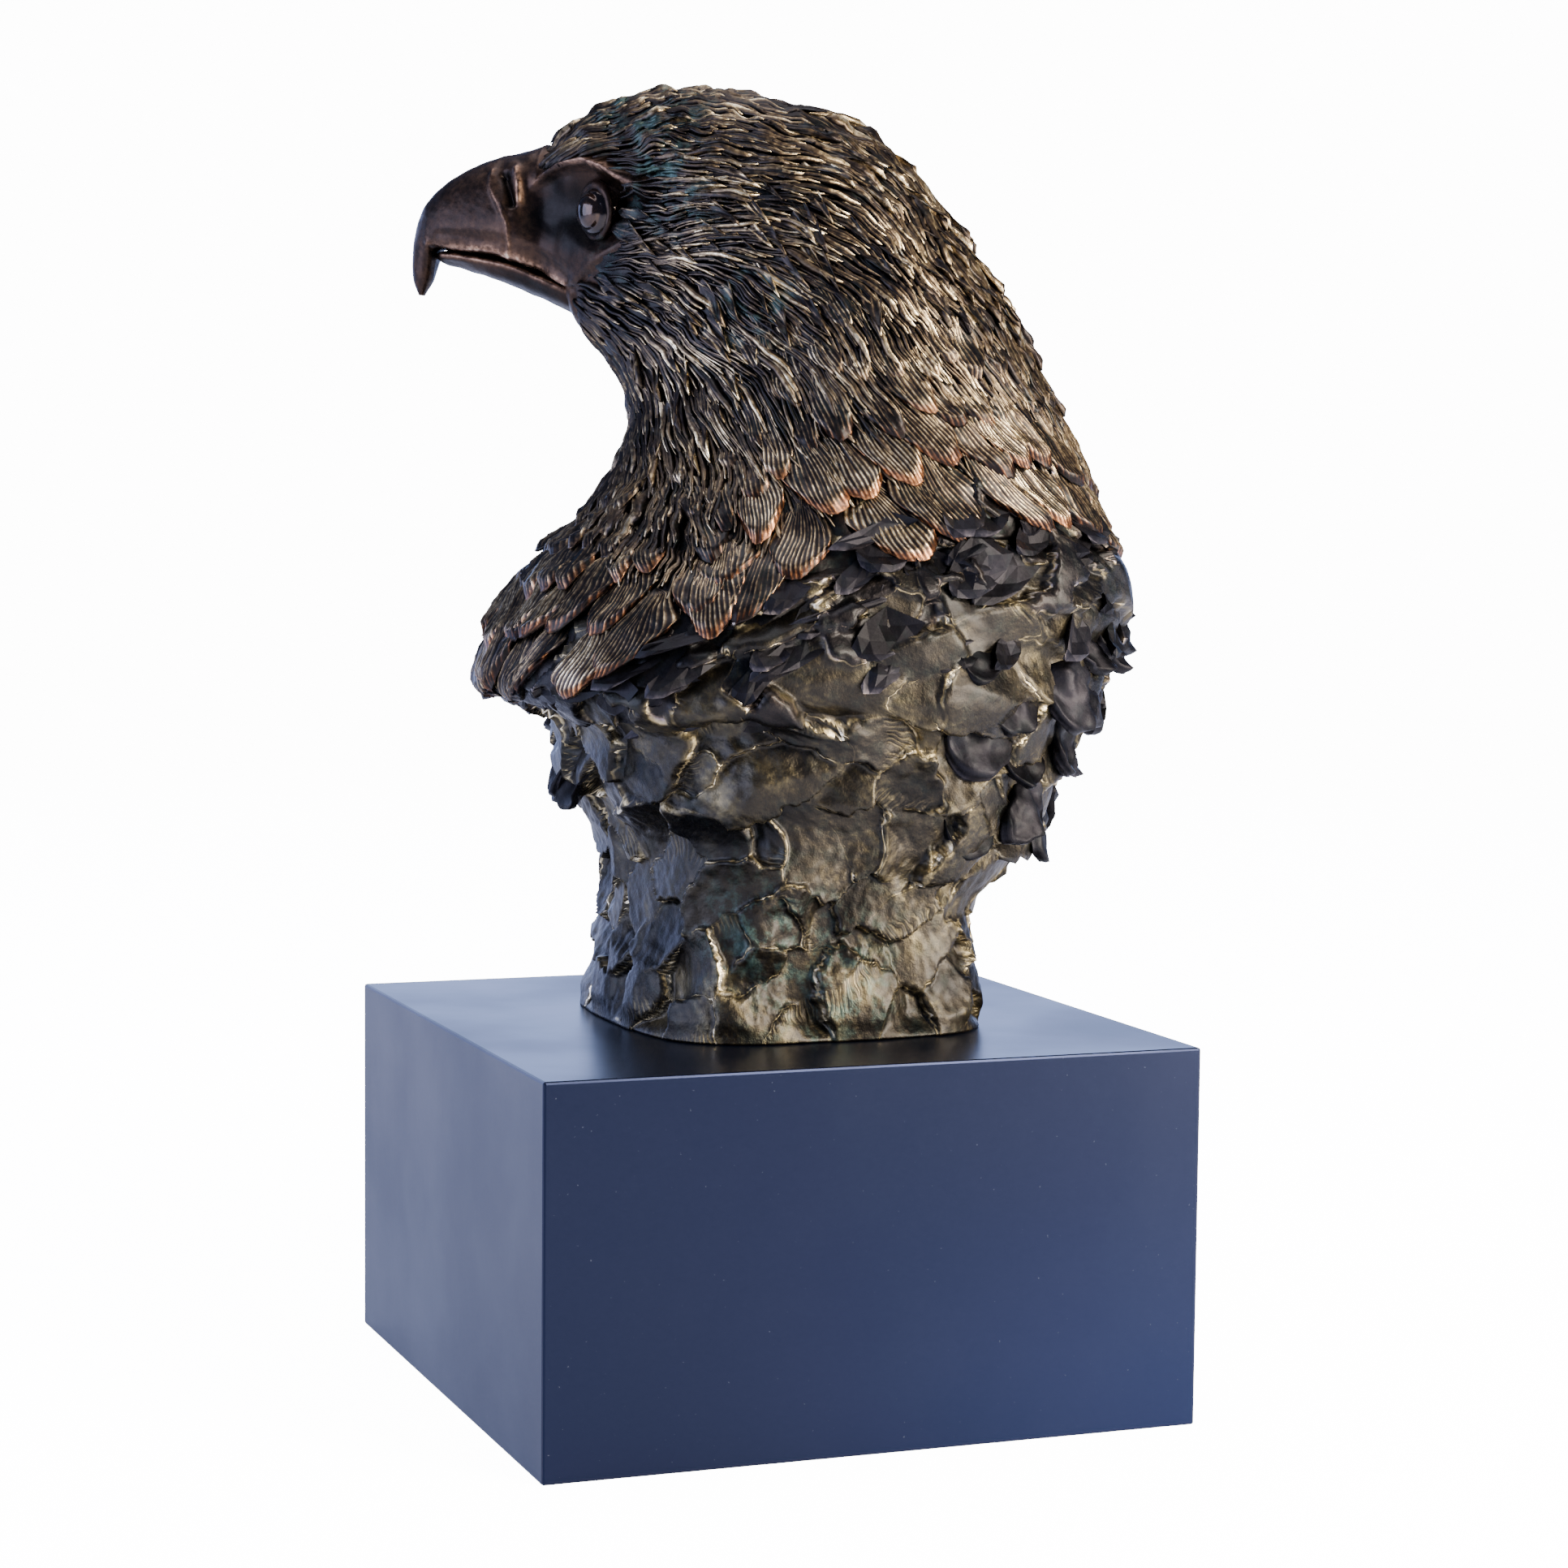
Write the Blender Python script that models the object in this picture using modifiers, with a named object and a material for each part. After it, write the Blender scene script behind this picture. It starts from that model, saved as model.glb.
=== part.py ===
"""Eagle head sculpture: a cast bust, worked in clay first, on a square lacquered plinth.

Metres, +Z up, origin at the middle of the plinth's underside. The chest faces -Y, the
bird's left side faces +X, and the head is turned towards -X. The bust is one cast solid.
It is drawn in the bird's own upright middle plane, as a run of closed sections, and its
numbers are millimetres on a bust DRAWN_HEIGHT tall, scaled to BUST_HEIGHT.
"""
import math

import bmesh
import bpy
import numpy as np

# Driving sizes
PLINTH_WIDTH = 0.150
PLINTH_DEPTH = 0.150
PLINTH_HEIGHT = 0.084
PLINTH_EDGE = 0.0006
SEAT_GAP = 0.0003
BUST_HEIGHT = 0.212

# Proportions of the bust, in the millimetres of the drawing
DRAWN_HEIGHT = 212.0
HEAD_TURN = math.radians(33.0)
TURN_AXIS = -15.0
TURN_FROM = 81.0
TURN_TO = 151.0

# Sections of the bust from the face back over the neck and down to the foot: front point
# (forward, up), back point (forward, up), half width, squareness, share wider at the back
SECTIONS = (
    (48.5, 168.0, 49.0, 195.0, 8.0, 2.3, 0.05),
    (43.0, 156.5, 36.0, 208.5, 17.5, 2.3, 0.10),
    (38.5, 149.5, 12.0, 211.0, 26.5, 2.3, 0.12),
    (34.5, 141.5, -20.0, 202.0, 33.0, 2.3, 0.09),
    (32.5, 133.0, -47.0, 175.0, 36.5, 2.3, 0.05),
    (37.0, 123.5, -67.0, 140.0, 43.0, 2.3, 0.0),
    (49.0, 112.5, -79.0, 114.0, 51.0, 2.3, 0.0),
    (59.0, 100.0, -83.0, 98.0, 56.0, 2.3, 0.0),
    (65.0, 80.0, -83.0, 76.0, 57.5, 2.4, 0.0),
    (48.0, 67.0, -74.0, 62.0, 53.0, 2.6, 0.0),
    (43.0, 55.0, -69.0, 49.0, 50.0, 2.8, 0.0),
    (34.0, 44.0, -61.0, 37.0, 46.5, 3.0, 0.0),
    (32.5, 32.0, -45.0, 28.0, 44.0, 3.2, 0.0),
    (33.5, 15.0, -42.5, 15.0, 43.5, 3.4, 0.0),
    (36.0, 0.0, -44.0, 0.0, 44.0, 3.6, 0.0),
)
FOOT_SECTION = len(SECTIONS) - 1

# Upper bill, from inside the face to the hooked tip: ridge point, underside point, half width
BILL_SECTIONS = (
    (40.0, 201.5, 42.0, 167.0, 10.0),
    (50.0, 199.5, 50.0, 168.5, 12.0),
    (57.0, 197.7, 56.7, 171.5, 11.8),
    (66.4, 195.6, 66.0, 173.8, 10.2),
    (75.5, 191.0, 74.5, 175.4, 7.8),
    (82.2, 183.5, 78.9, 174.6, 5.0),
    (84.3, 173.0, 78.8, 170.2, 3.4),
    (83.2, 165.7, 81.3, 165.6, 1.4),
)
# Lower bill, the same way
JAW_SECTIONS = (
    (40.0, 168.0, 40.0, 158.5, 10.0),
    (50.0, 170.0, 50.5, 163.0, 9.4),
    (64.5, 174.0, 65.0, 168.8, 7.2),
    (76.0, 175.5, 76.0, 171.4, 5.0),
    (78.4, 174.4, 78.6, 173.0, 2.6),
)
# Brow, from the bill back over the eye: forward, up, out from the middle plane, thickness
BROW_POINTS = (
    (52.0, 189.8, 10.5, 2.4),
    (44.0, 193.2, 15.0, 3.4),
    (36.0, 193.8, 19.5, 3.8),
    (28.0, 190.0, 22.5, 3.2),
    (20.0, 187.5, 24.5, 1.8),
)
EYE_PLACE = (37.7, 185.3, 15.6)
EYE_RADIUS = 6.2
NOSTRIL_TOP = (61.0, 192.5)
NOSTRIL_BOTTOM = (58.6, 185.0)
NOSTRIL_WIDTH = 1.8
NOSTRIL_OUT = 12.0
NOSTRIL_DEPTH = 3.4

# Feathers: rows from the face down to the hem, overlapping like shingles
FEATHERS_AROUND = 20
COLUMNS_PER_FEATHER = 4
COLUMNS = FEATHERS_AROUND * COLUMNS_PER_FEATHER
FEATHER_ROWS = 10
FIRST_ROW = 0.55
ROW_GROWTH = 1.25
ROW_STEPS = (0.12, 0.58, 1.0)
TIP_REACH = 0.42
FEATHER_LIFT = 0.115

# The hem: its section number in front, and how it rises at the sides and drops behind
HEM_FRONT = 8.15
HEM_RISE = 2.1
HEM_RISE_FROM = math.radians(25.0)
HEM_RISE_TO = math.radians(120.0)
HEM_DROP = 1.2
HEM_DROP_FROM = math.radians(145.0)

# Torn slabs of clay below the hem
SLAB_ROWS = 6
SLAB_LIFT = 5.0
SLAB_COLUMNS = (4, 9)
SLAB_SEED = 7
FOOT_BAND = 0.35


def clear_scene():
    """Empty the scene of its objects."""
    for thing in list(bpy.data.objects):
        bpy.data.objects.remove(thing, do_unlink=True)


def new_collection(name):
    """A collection of that name under the scene."""
    group = bpy.data.collections.new(name)
    bpy.context.scene.collection.children.link(group)
    return group


def principled(name, colour, roughness, metallic):
    """A Principled material from a linear colour, a roughness and a metallic value."""
    material = bpy.data.materials.new(name)
    material.use_nodes = True
    shader = material.node_tree.nodes["Principled BSDF"]
    shader.inputs["Base Color"].default_value = (*colour, 1.0)
    shader.inputs["Roughness"].default_value = roughness
    shader.inputs["Metallic"].default_value = metallic
    material.diffuse_color = (*colour, 1.0)
    return material


def smoothstep(x):
    """0 below 0, 1 above 1, and a soft S between."""
    x = np.clip(x, 0.0, 1.0)
    return x * x * (3.0 - 2.0 * x)


def smooth_rows(rows, place):
    """The rows read at fractional numbers, on a curve that passes through each of them."""
    table = np.asarray(rows, float)
    last = len(table) - 1
    place = np.clip(np.asarray(place, float), 0.0, last)
    whole = np.minimum(place.astype(int), last - 1)
    part = (place - whole)[..., None]
    before, here, after, beyond = (table[np.clip(whole + step, 0, last)] for step in (-1, 0, 1, 2))
    return 0.5 * (2.0 * here + (after - before) * part
                  + (2.0 * before - 5.0 * here + 4.0 * after - beyond) * part ** 2
                  + (3.0 * here - before - 3.0 * after + beyond) * part ** 3)


def superellipse(around, square):
    """Shares along and across, out to a superellipse in the direction of the angle around."""
    along = np.cos(around)
    across = np.sin(around)
    reach = (np.abs(along) ** square + np.abs(across) ** square) ** (-1.0 / square)
    return along * reach, across * reach


def turned(points):
    """Drawn (forward, up, left) to world metres, with the head turned about the neck."""
    forward, up, left = np.moveaxis(points, -1, 0)
    angle = HEAD_TURN * smoothstep((up - TURN_FROM) / (TURN_TO - TURN_FROM))
    reach = forward - TURN_AXIS
    x = left * np.cos(angle) - reach * np.sin(angle)
    y = -(reach * np.cos(angle) + left * np.sin(angle) + TURN_AXIS)
    scale = BUST_HEIGHT / DRAWN_HEIGHT
    return np.stack([x * scale, y * scale, up * scale + PLINTH_HEIGHT + SEAT_GAP], axis=-1)


def plain_surface(place, around):
    """The bust without relief: the superellipse of section number place, at angle around.

    Angle 0 is the front point, half a turn is the back point, and the left side is between.
    """
    place, around = np.broadcast_arrays(place, around)
    row = smooth_rows(SECTIONS, place)
    front_x, front_z, back_x, back_z, half_width, square, wider = np.moveaxis(row, -1, 0)
    along, across = superellipse(around, square)
    forward = (front_x + back_x) / 2 + (front_x - back_x) / 2 * along
    up = (front_z + back_z) / 2 + (front_z - back_z) / 2 * along
    left = half_width * across * (1.0 - wider * along)
    return np.stack([forward, up, left], axis=-1)


def outward(place, around):
    """Unit normals of the plain surface, from small steps along it both ways."""
    step = 0.02
    down = plain_surface(place + step, around) - plain_surface(place - step, around)
    side = plain_surface(place, around + step) - plain_surface(place, around - step)
    normal = np.cross(side, down)
    return normal / np.maximum(np.linalg.norm(normal, axis=-1, keepdims=True), 1e-9)


def hem(around):
    """Section number of the feathers' lower edge at each angle."""
    away = np.abs(around)
    rise = smoothstep((away - HEM_RISE_FROM) / (HEM_RISE_TO - HEM_RISE_FROM))
    drop = smoothstep((away - HEM_DROP_FROM) / (math.pi - HEM_DROP_FROM))
    return HEM_FRONT - HEM_RISE * rise + HEM_DROP * drop


def scallop(around, row):
    """1 at the middle of a feather and 0 between two, with each row set half a feather on."""
    return np.abs(np.cos(around * FEATHERS_AROUND / 2 + math.pi / 2 * (row % 2)))


def feather_edge(row, around):
    """Section number of the scalloped lower edge of a row; row 0 is the line of the face."""
    share = (np.maximum(row, 0) / FEATHER_ROWS) ** ROW_GROWTH
    line = FIRST_ROW + (hem(around) - FIRST_ROW) * share
    if row < 1:
        return line
    length = line - feather_edge_line(row - 1, around)
    return line + TIP_REACH * length * (scallop(around, row) - 0.5)


def feather_edge_line(row, around):
    """The middle line of a row's lower edge, without its scallops."""
    share = (row / FEATHER_ROWS) ** ROW_GROWTH
    return FIRST_ROW + (hem(around) - FIRST_ROW) * share


def feather_rings(around):
    """Rings of section numbers and lifts for the feathers, from the face to the hem."""
    rings = []
    for row in range(1, FEATHER_ROWS + 1):
        upper = feather_edge(row - 1, around)
        lower = feather_edge(row, around)
        length = np.linalg.norm(plain_surface(lower, around) - plain_surface(upper, around), axis=-1)
        ridge = 0.35 + 0.65 * scallop(around, row)
        for step in ROW_STEPS:
            place = upper + (lower - upper) * step
            shown = smoothstep((place - 1.0) / 0.9)
            rise = (step - ROW_STEPS[0]) / (1.0 - ROW_STEPS[0])
            rings.append((place, shown * FEATHER_LIFT * length * ridge * rise ** 1.3))
    return rings


def slab_rings(around):
    """Rings for the torn slabs: each slab is a tilted plate with its own width and lift."""
    chance = np.random.default_rng(SLAB_SEED)
    start = feather_edge(FEATHER_ROWS, around)
    rings = []
    for row in range(SLAB_ROWS):
        lift = np.zeros(COLUMNS)
        wander = np.zeros(COLUMNS)
        column = int(chance.integers(0, SLAB_COLUMNS[0]))
        while column < COLUMNS:
            wide = int(chance.integers(*SLAB_COLUMNS))
            span = np.arange(column, min(column + wide, COLUMNS))
            tilt = np.linspace(-1.0, 1.0, len(span)) * chance.uniform(-0.5, 0.5)
            lift[span] = chance.uniform(0.25, 1.0) * (1.0 + tilt)
            wander[span] = chance.uniform(-0.3, 0.3) + 0.3 * tilt
            column += wide
        for step, height in ((0.15, 0.05), (0.95, 1.0)):
            share = (row + step + wander * step) / SLAB_ROWS
            place = start + (FOOT_SECTION - FOOT_BAND - start) * share
            rings.append((place, SLAB_LIFT * height * lift))
    return rings


def body_rings(around):
    """Every ring of the bust from the face to the foot, as drawn points."""
    rings = [(np.full(COLUMNS, place), np.zeros(COLUMNS)) for place in (0.0, 0.3)]
    rings += feather_rings(around)
    rings += slab_rings(around)
    rings += [(np.full(COLUMNS, float(FOOT_SECTION - FOOT_BAND / 3)), np.zeros(COLUMNS))]
    rings += [(np.full(COLUMNS, float(FOOT_SECTION)), np.zeros(COLUMNS))]
    return [plain_surface(place, around) + outward(place, around) * lift[:, None]
            for place, lift in rings]


def add_loft(name, rings, group, material):
    """Join closed rings of points into one closed mesh, with a fan at each end."""
    mesh = bpy.data.meshes.new(name)
    form = bmesh.new()
    loops = [[form.verts.new(point) for point in ring] for ring in rings]
    for first, second in zip(loops, loops[1:]):
        for side in range(len(first)):
            after = (side + 1) % len(first)
            form.faces.new((first[side], first[after], second[after], second[side]))
    for loop in (loops[0], loops[-1]):
        middle = sum((vert.co for vert in loop[1:]), loop[0].co.copy()) / len(loop)
        peak = form.verts.new(middle)
        for side in range(len(loop)):
            form.faces.new((loop[side], loop[(side + 1) % len(loop)], peak))
    bmesh.ops.recalc_face_normals(form, faces=form.faces)
    bmesh.ops.triangulate(form, faces=form.faces)
    form.to_mesh(mesh)
    form.free()
    mesh.materials.append(material)
    thing = bpy.data.objects.new(name, mesh)
    group.objects.link(thing)
    return thing


def bill_loft(name, sections, rings, sides, square, narrow, group, material):
    """A bill: superellipse sections between a ridge line and an underside line."""
    place = np.linspace(0.0, len(sections) - 1.0, rings)[:, None]
    around = np.linspace(0.0, 2.0 * math.pi, sides, endpoint=False)[None, :]
    ridge_x, ridge_z, under_x, under_z, half_width = np.moveaxis(smooth_rows(sections, place), -1, 0)
    along, across = superellipse(around, square)
    forward = (ridge_x + under_x) / 2 + (ridge_x - under_x) / 2 * along
    up = (ridge_z + under_z) / 2 + (ridge_z - under_z) / 2 * along
    left = half_width * across * (1.0 - narrow * along)
    return add_loft(name, turned(np.stack([forward, up, left], axis=-1)), group, material)


def brow_loft(name, side, group, material):
    """A brow: a tapering round bar along the brow points, flattened top to bottom."""
    place = np.linspace(0.0, len(BROW_POINTS) - 1.0, 9)[:, None]
    around = np.linspace(0.0, 2.0 * math.pi, 10, endpoint=False)[None, :]
    forward, up, left, thick = np.moveaxis(smooth_rows(BROW_POINTS, place), -1, 0)
    ring_up = up + 0.75 * thick * np.sin(around)
    ring_left = side * (left - 2.0 + 1.15 * thick * np.cos(around))
    points = np.stack([forward + 0.0 * around, ring_up, ring_left], axis=-1)
    return add_loft(name, turned(points), group, material)


def eye_ball(name, side, group, material):
    """An eye: a sphere set in the side of the face under its brow."""
    forward, up, left = EYE_PLACE
    centre = turned(np.array([forward, up, side * left]))
    mesh = bpy.data.meshes.new(name)
    form = bmesh.new()
    radius = EYE_RADIUS * BUST_HEIGHT / DRAWN_HEIGHT
    bmesh.ops.create_uvsphere(form, u_segments=14, v_segments=9, radius=radius)
    form.to_mesh(mesh)
    form.free()
    mesh.materials.append(material)
    thing = bpy.data.objects.new(name, mesh)
    thing.location = centre
    thing.rotation_euler = (0.0, math.radians(90.0), -HEAD_TURN)
    group.objects.link(thing)
    return thing


def nostril_cutter(name, side, group, material):
    """A nostril: a flat rod through the side of the bill's base, cut away from it."""
    top = np.array([*NOSTRIL_TOP, side * NOSTRIL_OUT])
    bottom = np.array([*NOSTRIL_BOTTOM, side * NOSTRIL_OUT])
    around = np.linspace(0.0, 2.0 * math.pi, 8, endpoint=False)[:, None]
    along = (top - bottom) / 2
    across = np.array([NOSTRIL_WIDTH / 2, 0.0, 0.0])
    ring = (top + bottom) / 2 + along * np.cos(around) + across * np.sin(around)
    inner = ring - np.array([0.0, 0.0, side * NOSTRIL_DEPTH])
    outer = ring + np.array([0.0, 0.0, side * NOSTRIL_DEPTH])
    return add_loft(name, [turned(outer), turned(inner)], group, material)


def join(target, tool, operation):
    """An exact Boolean on the target, with the tool kept as a hidden guide."""
    tool.hide_render = True
    tool.display_type = "WIRE"
    change = target.modifiers.new(tool.name, "BOOLEAN")
    change.object = tool
    change.operation = operation
    change.solver = "EXACT"


def build_bust(group, cutters):
    """The bust: feathered neck and clay column, with bill, brows, eyes and nostrils."""
    bronze = principled("bronze_resin", (0.045, 0.030, 0.021), 0.42, 0.85)
    around = np.linspace(-math.pi, math.pi, COLUMNS, endpoint=False)
    bust = add_loft("eagle_bust", [turned(ring) for ring in body_rings(around)], group, bronze)
    jaw = bill_loft("jaw_form", JAW_SECTIONS, 9, 14, 2.0, 0.0, cutters, bronze)
    join(bust, jaw, "UNION")
    bill = bill_loft("bill_form", BILL_SECTIONS, 17, 20, 2.6, 0.28, cutters, bronze)
    join(bust, bill, "UNION")
    for side, label in ((1, "left"), (-1, "right")):
        join(bust, eye_ball(f"eye_form_{label}", side, cutters, bronze), "UNION")
        join(bust, brow_loft(f"brow_form_{label}", side, cutters, bronze), "UNION")
        join(bust, nostril_cutter(f"nostril_{label}", side, cutters, bronze), "DIFFERENCE")
    return bust


def build_plinth(group):
    """The plinth: a square block of lacquered board with fine edges."""
    lacquer = principled("black_lacquer", (0.012, 0.014, 0.022), 0.25, 0.0)
    mesh = bpy.data.meshes.new("plinth")
    form = bmesh.new()
    bmesh.ops.create_cube(form, size=1.0)
    bmesh.ops.scale(form, verts=form.verts, vec=(PLINTH_WIDTH, PLINTH_DEPTH, PLINTH_HEIGHT))
    form.to_mesh(mesh)
    form.free()
    mesh.materials.append(lacquer)
    plinth = bpy.data.objects.new("plinth", mesh)
    plinth.location = (0.0, 0.0, PLINTH_HEIGHT / 2)
    group.objects.link(plinth)
    edge = plinth.modifiers.new("fine_edges", "BEVEL")
    edge.width = PLINTH_EDGE
    edge.segments = 2
    return plinth


def main():
    """Build the whole sculpture."""
    clear_scene()
    sculpture = new_collection("eagle_head_sculpture")
    cutters = new_collection("cutters")
    build_plinth(sculpture)
    build_bust(sculpture, cutters)


main()
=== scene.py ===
# %% [markdown]
# An eagle's head in bronze, on a black plinth
#
# The real object was first worked in clay and then cast: a smooth bill and brow, feathers
# pressed and combed with a small tool, and under them a column of torn and scooped clay.
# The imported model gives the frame, which is every piece's true size and place. This script
# lays the fine surface over it. Each piece is a closed surface worked out with numpy, and
# the finish is made of shader nodes that read the pieces' own numbers.

# %% The frame and the box that everything must stay in
import math
from functools import partial

import bpy
import numpy as np
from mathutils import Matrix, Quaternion, Vector


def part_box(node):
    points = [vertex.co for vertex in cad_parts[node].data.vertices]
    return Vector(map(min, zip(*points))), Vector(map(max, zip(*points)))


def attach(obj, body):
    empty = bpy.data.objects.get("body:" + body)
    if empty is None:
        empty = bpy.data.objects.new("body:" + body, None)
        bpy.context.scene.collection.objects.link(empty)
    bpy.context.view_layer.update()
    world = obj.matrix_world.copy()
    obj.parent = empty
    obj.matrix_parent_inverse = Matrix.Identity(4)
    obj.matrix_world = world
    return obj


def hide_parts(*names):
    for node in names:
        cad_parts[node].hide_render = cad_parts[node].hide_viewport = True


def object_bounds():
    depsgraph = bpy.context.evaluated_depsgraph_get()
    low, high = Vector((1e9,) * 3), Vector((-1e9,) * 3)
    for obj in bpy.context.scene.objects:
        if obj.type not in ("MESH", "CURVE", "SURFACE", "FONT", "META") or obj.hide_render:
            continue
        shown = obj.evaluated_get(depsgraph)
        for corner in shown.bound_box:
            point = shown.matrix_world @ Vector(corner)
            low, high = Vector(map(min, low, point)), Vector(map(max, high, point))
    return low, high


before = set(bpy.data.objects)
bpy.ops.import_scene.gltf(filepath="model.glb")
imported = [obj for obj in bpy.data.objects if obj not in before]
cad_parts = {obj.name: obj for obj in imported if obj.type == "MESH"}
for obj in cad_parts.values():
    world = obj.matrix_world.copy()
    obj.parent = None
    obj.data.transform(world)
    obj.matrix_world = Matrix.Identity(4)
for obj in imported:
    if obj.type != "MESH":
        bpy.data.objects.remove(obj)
CAD_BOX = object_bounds()
BUST_LOW, BUST_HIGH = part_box("eagle_bust")
PLINTH_LOW, PLINTH_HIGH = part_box("plinth")
print("bust", [round(side * 1000, 1) for side in BUST_HIGH - BUST_LOW], "mm")
print("plinth", [round(side * 1000, 1) for side in PLINTH_HIGH - PLINTH_LOW], "mm")

# %% [markdown]
# The form under the feathers
#
# A neck is easier to draw as slices than as a net of faces. Each slice is a closed curve
# between a front point (throat or chest) and a back point (crown or nape), and a smooth
# curve runs through the slices from the face down to the foot. A superellipse is round at
# squareness 2 and boxy above it, so one formula gives the round neck and the blocky foot.
# Numbers are millimetres of the drawing, in the bird's own upright middle plane: forward,
# up from the foot, and out to its left. At the end the head is turned about the neck.

# %% Slices of the bust
DRAWN_HEIGHT = 212.8
SCALE = (BUST_HIGH.z - BUST_LOW.z) / DRAWN_HEIGHT
HEAD_TURN = math.radians(33.0)
TURN_AXIS = -15.0
TURN_FROM = 81.0
TURN_TO = 151.0

# front (forward, up), back (forward, up), half width, squareness, share wider at the back
NECK_SLICES = (
    (48.5, 168.0, 51.5, 199.4, 12.6, 2.4, -0.05),
    (43.0, 156.5, 36.0, 208.2, 18.0, 2.3, 0.08),
    (36.3, 149.5, 12.0, 210.6, 26.5, 2.3, 0.12),
    (30.8, 141.5, -22.0, 200.8, 33.0, 2.3, 0.09),
    (30.0, 133.0, -47.0, 175.0, 36.5, 2.3, 0.05),
    (34.5, 123.5, -67.0, 140.0, 43.0, 2.3, 0.0),
    (43.8, 112.5, -79.0, 114.0, 51.0, 2.3, 0.0),
    (56.2, 100.0, -83.0, 98.0, 56.0, 2.3, 0.0),
    (65.5, 76.8, -83.0, 76.0, 57.5, 2.4, 0.0),
    (46.5, 69.0, -74.0, 62.0, 53.0, 2.6, 0.0),
    (43.0, 55.0, -69.0, 49.0, 50.0, 2.8, 0.0),
    (34.0, 44.0, -61.0, 37.0, 46.5, 3.0, 0.0),
    (32.5, 32.0, -45.0, 28.0, 44.0, 3.2, 0.0),
    (33.5, 15.0, -42.5, 15.0, 43.5, 3.4, 0.0),
    (36.0, 0.0, -44.0, 0.0, 44.0, 3.6, 0.0),
)
FOOT = len(NECK_SLICES) - 1.0
WHOLE_TURN = 2.0 * math.pi


def all_round(count):
    """Evenly spaced angles from the back over the right side and the chest to the back again."""
    return np.linspace(-math.pi, math.pi, count, endpoint=False)


def from_chest(around):
    """Angles from half a turn to the right, below 0, to half a turn to the left."""
    return np.mod(around + math.pi, WHOLE_TURN) - math.pi


def smoothstep(x):
    """0 below 0, 1 above 1, and 3x^2 - 2x^3 between."""
    x = np.clip(x, 0.0, 1.0)
    return x * x * (3.0 - 2.0 * x)


def through(rows, place):
    """A Catmull-Rom curve through the rows, read at fractional row numbers."""
    table = np.asarray(rows, float)
    last = len(table) - 1
    place = np.clip(np.asarray(place, float), 0.0, last)
    whole = np.minimum(place.astype(int), last - 1)
    part = (place - whole)[..., None]
    before, here, after, beyond = (table[np.clip(whole + k, 0, last)] for k in (-1, 0, 1, 2))
    return 0.5 * (2.0 * here + (after - before) * part
                  + (2.0 * before - 5.0 * here + 4.0 * after - beyond) * part ** 2
                  + (3.0 * here - before - 3.0 * after + beyond) * part ** 3)


def slice_points(rows, place, around):
    """Points of the slices: a superellipse |c|^n + |s|^n = 1 between front and back point.

    Angle 0 is the front point, half a turn the back point, and a quarter turn the left side.
    """
    place, around = np.broadcast_arrays(place, around)
    columns = np.moveaxis(through(rows, place), -1, 0)
    front_x, front_z, back_x, back_z, half_width, square, wider = columns
    along = np.cos(around)
    across = np.sin(around)
    reach = (np.abs(along) ** square + np.abs(across) ** square) ** (-1.0 / square)
    along = along * reach
    across = across * reach
    forward = (front_x + back_x) / 2 + (front_x - back_x) / 2 * along
    up = (front_z + back_z) / 2 + (front_z - back_z) / 2 * along
    return np.stack([forward, up, half_width * across * (1.0 - wider * along)], axis=-1)


def slice_normals(rows, place, around, step=0.02):
    """Outward unit normals: the cross product of small steps around and along the slices."""
    low = np.maximum(place - step, 0.0)
    high = np.minimum(place + step, len(rows) - 1.0)
    down = slice_points(rows, high, around) - slice_points(rows, low, around)
    side = slice_points(rows, place, around + step) - slice_points(rows, place, around - step)
    normal = np.cross(side, down)
    return normal / np.maximum(np.linalg.norm(normal, axis=-1, keepdims=True), 1e-9)


def to_world(points):
    """Drawn (forward, up, left) to world metres: x and y turn together with height."""
    forward, up, left = np.moveaxis(points, -1, 0)
    angle = HEAD_TURN * smoothstep((up - TURN_FROM) / (TURN_TO - TURN_FROM))
    reach = forward - TURN_AXIS
    x = left * np.cos(angle) - reach * np.sin(angle)
    y = -(reach * np.cos(angle) + left * np.sin(angle) + TURN_AXIS)
    return np.stack([x * SCALE, y * SCALE, up * SCALE + BUST_LOW.z], axis=-1)


def ripple(points, size, seed, waves=14):
    """Smooth noise of about unit size: a sum of sine waves in seeded random directions."""
    chance = np.random.default_rng(seed)
    ways = chance.normal(size=(waves, points.shape[-1])) * (WHOLE_TURN / size) / 1.7
    starts = chance.uniform(0.0, WHOLE_TURN, waves)
    return np.sin(points @ ways.T + starts).sum(axis=-1) * math.sqrt(2.0 / waves)


# %% [markdown]
# From arrays to a mesh
#
# Every piece here is a shell made of rings: the bill, the neck and each feather alike. One
# function numbers the faces of any count of such shells at once, with a fan of triangles
# at both ends so that each is closed, and another puts points and faces into a mesh.
# Numbers kept for each point, such as how far the bronze is rubbed, with painted shade in a few places, go
# along as attributes.

# %% Shells and pieces
def shell_faces(shells, rings, around):
    """Faces of closed shells: quads between rings and triangle fans to a point at each end."""
    size = rings * around + 2
    base = (np.arange(shells) * size)[:, None, None]
    ring = np.arange(rings - 1)[:, None] * around
    here = np.arange(around)[None, :]
    after = (here + 1) % around
    quads = np.stack([ring + here, ring + after, ring + around + after, ring + around + here], axis=-1)
    quads = (base[..., None] + quads[None]).reshape(-1, 4)
    first = np.stack([after[0], here[0], np.full(around, rings * around)], axis=-1)
    end = (rings - 1) * around
    last = np.stack([end + here[0], end + after[0], np.full(around, rings * around + 1)], axis=-1)
    ends = (base + np.concatenate([first, last])[None]).reshape(-1, 3)
    return [quads, ends]


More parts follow.
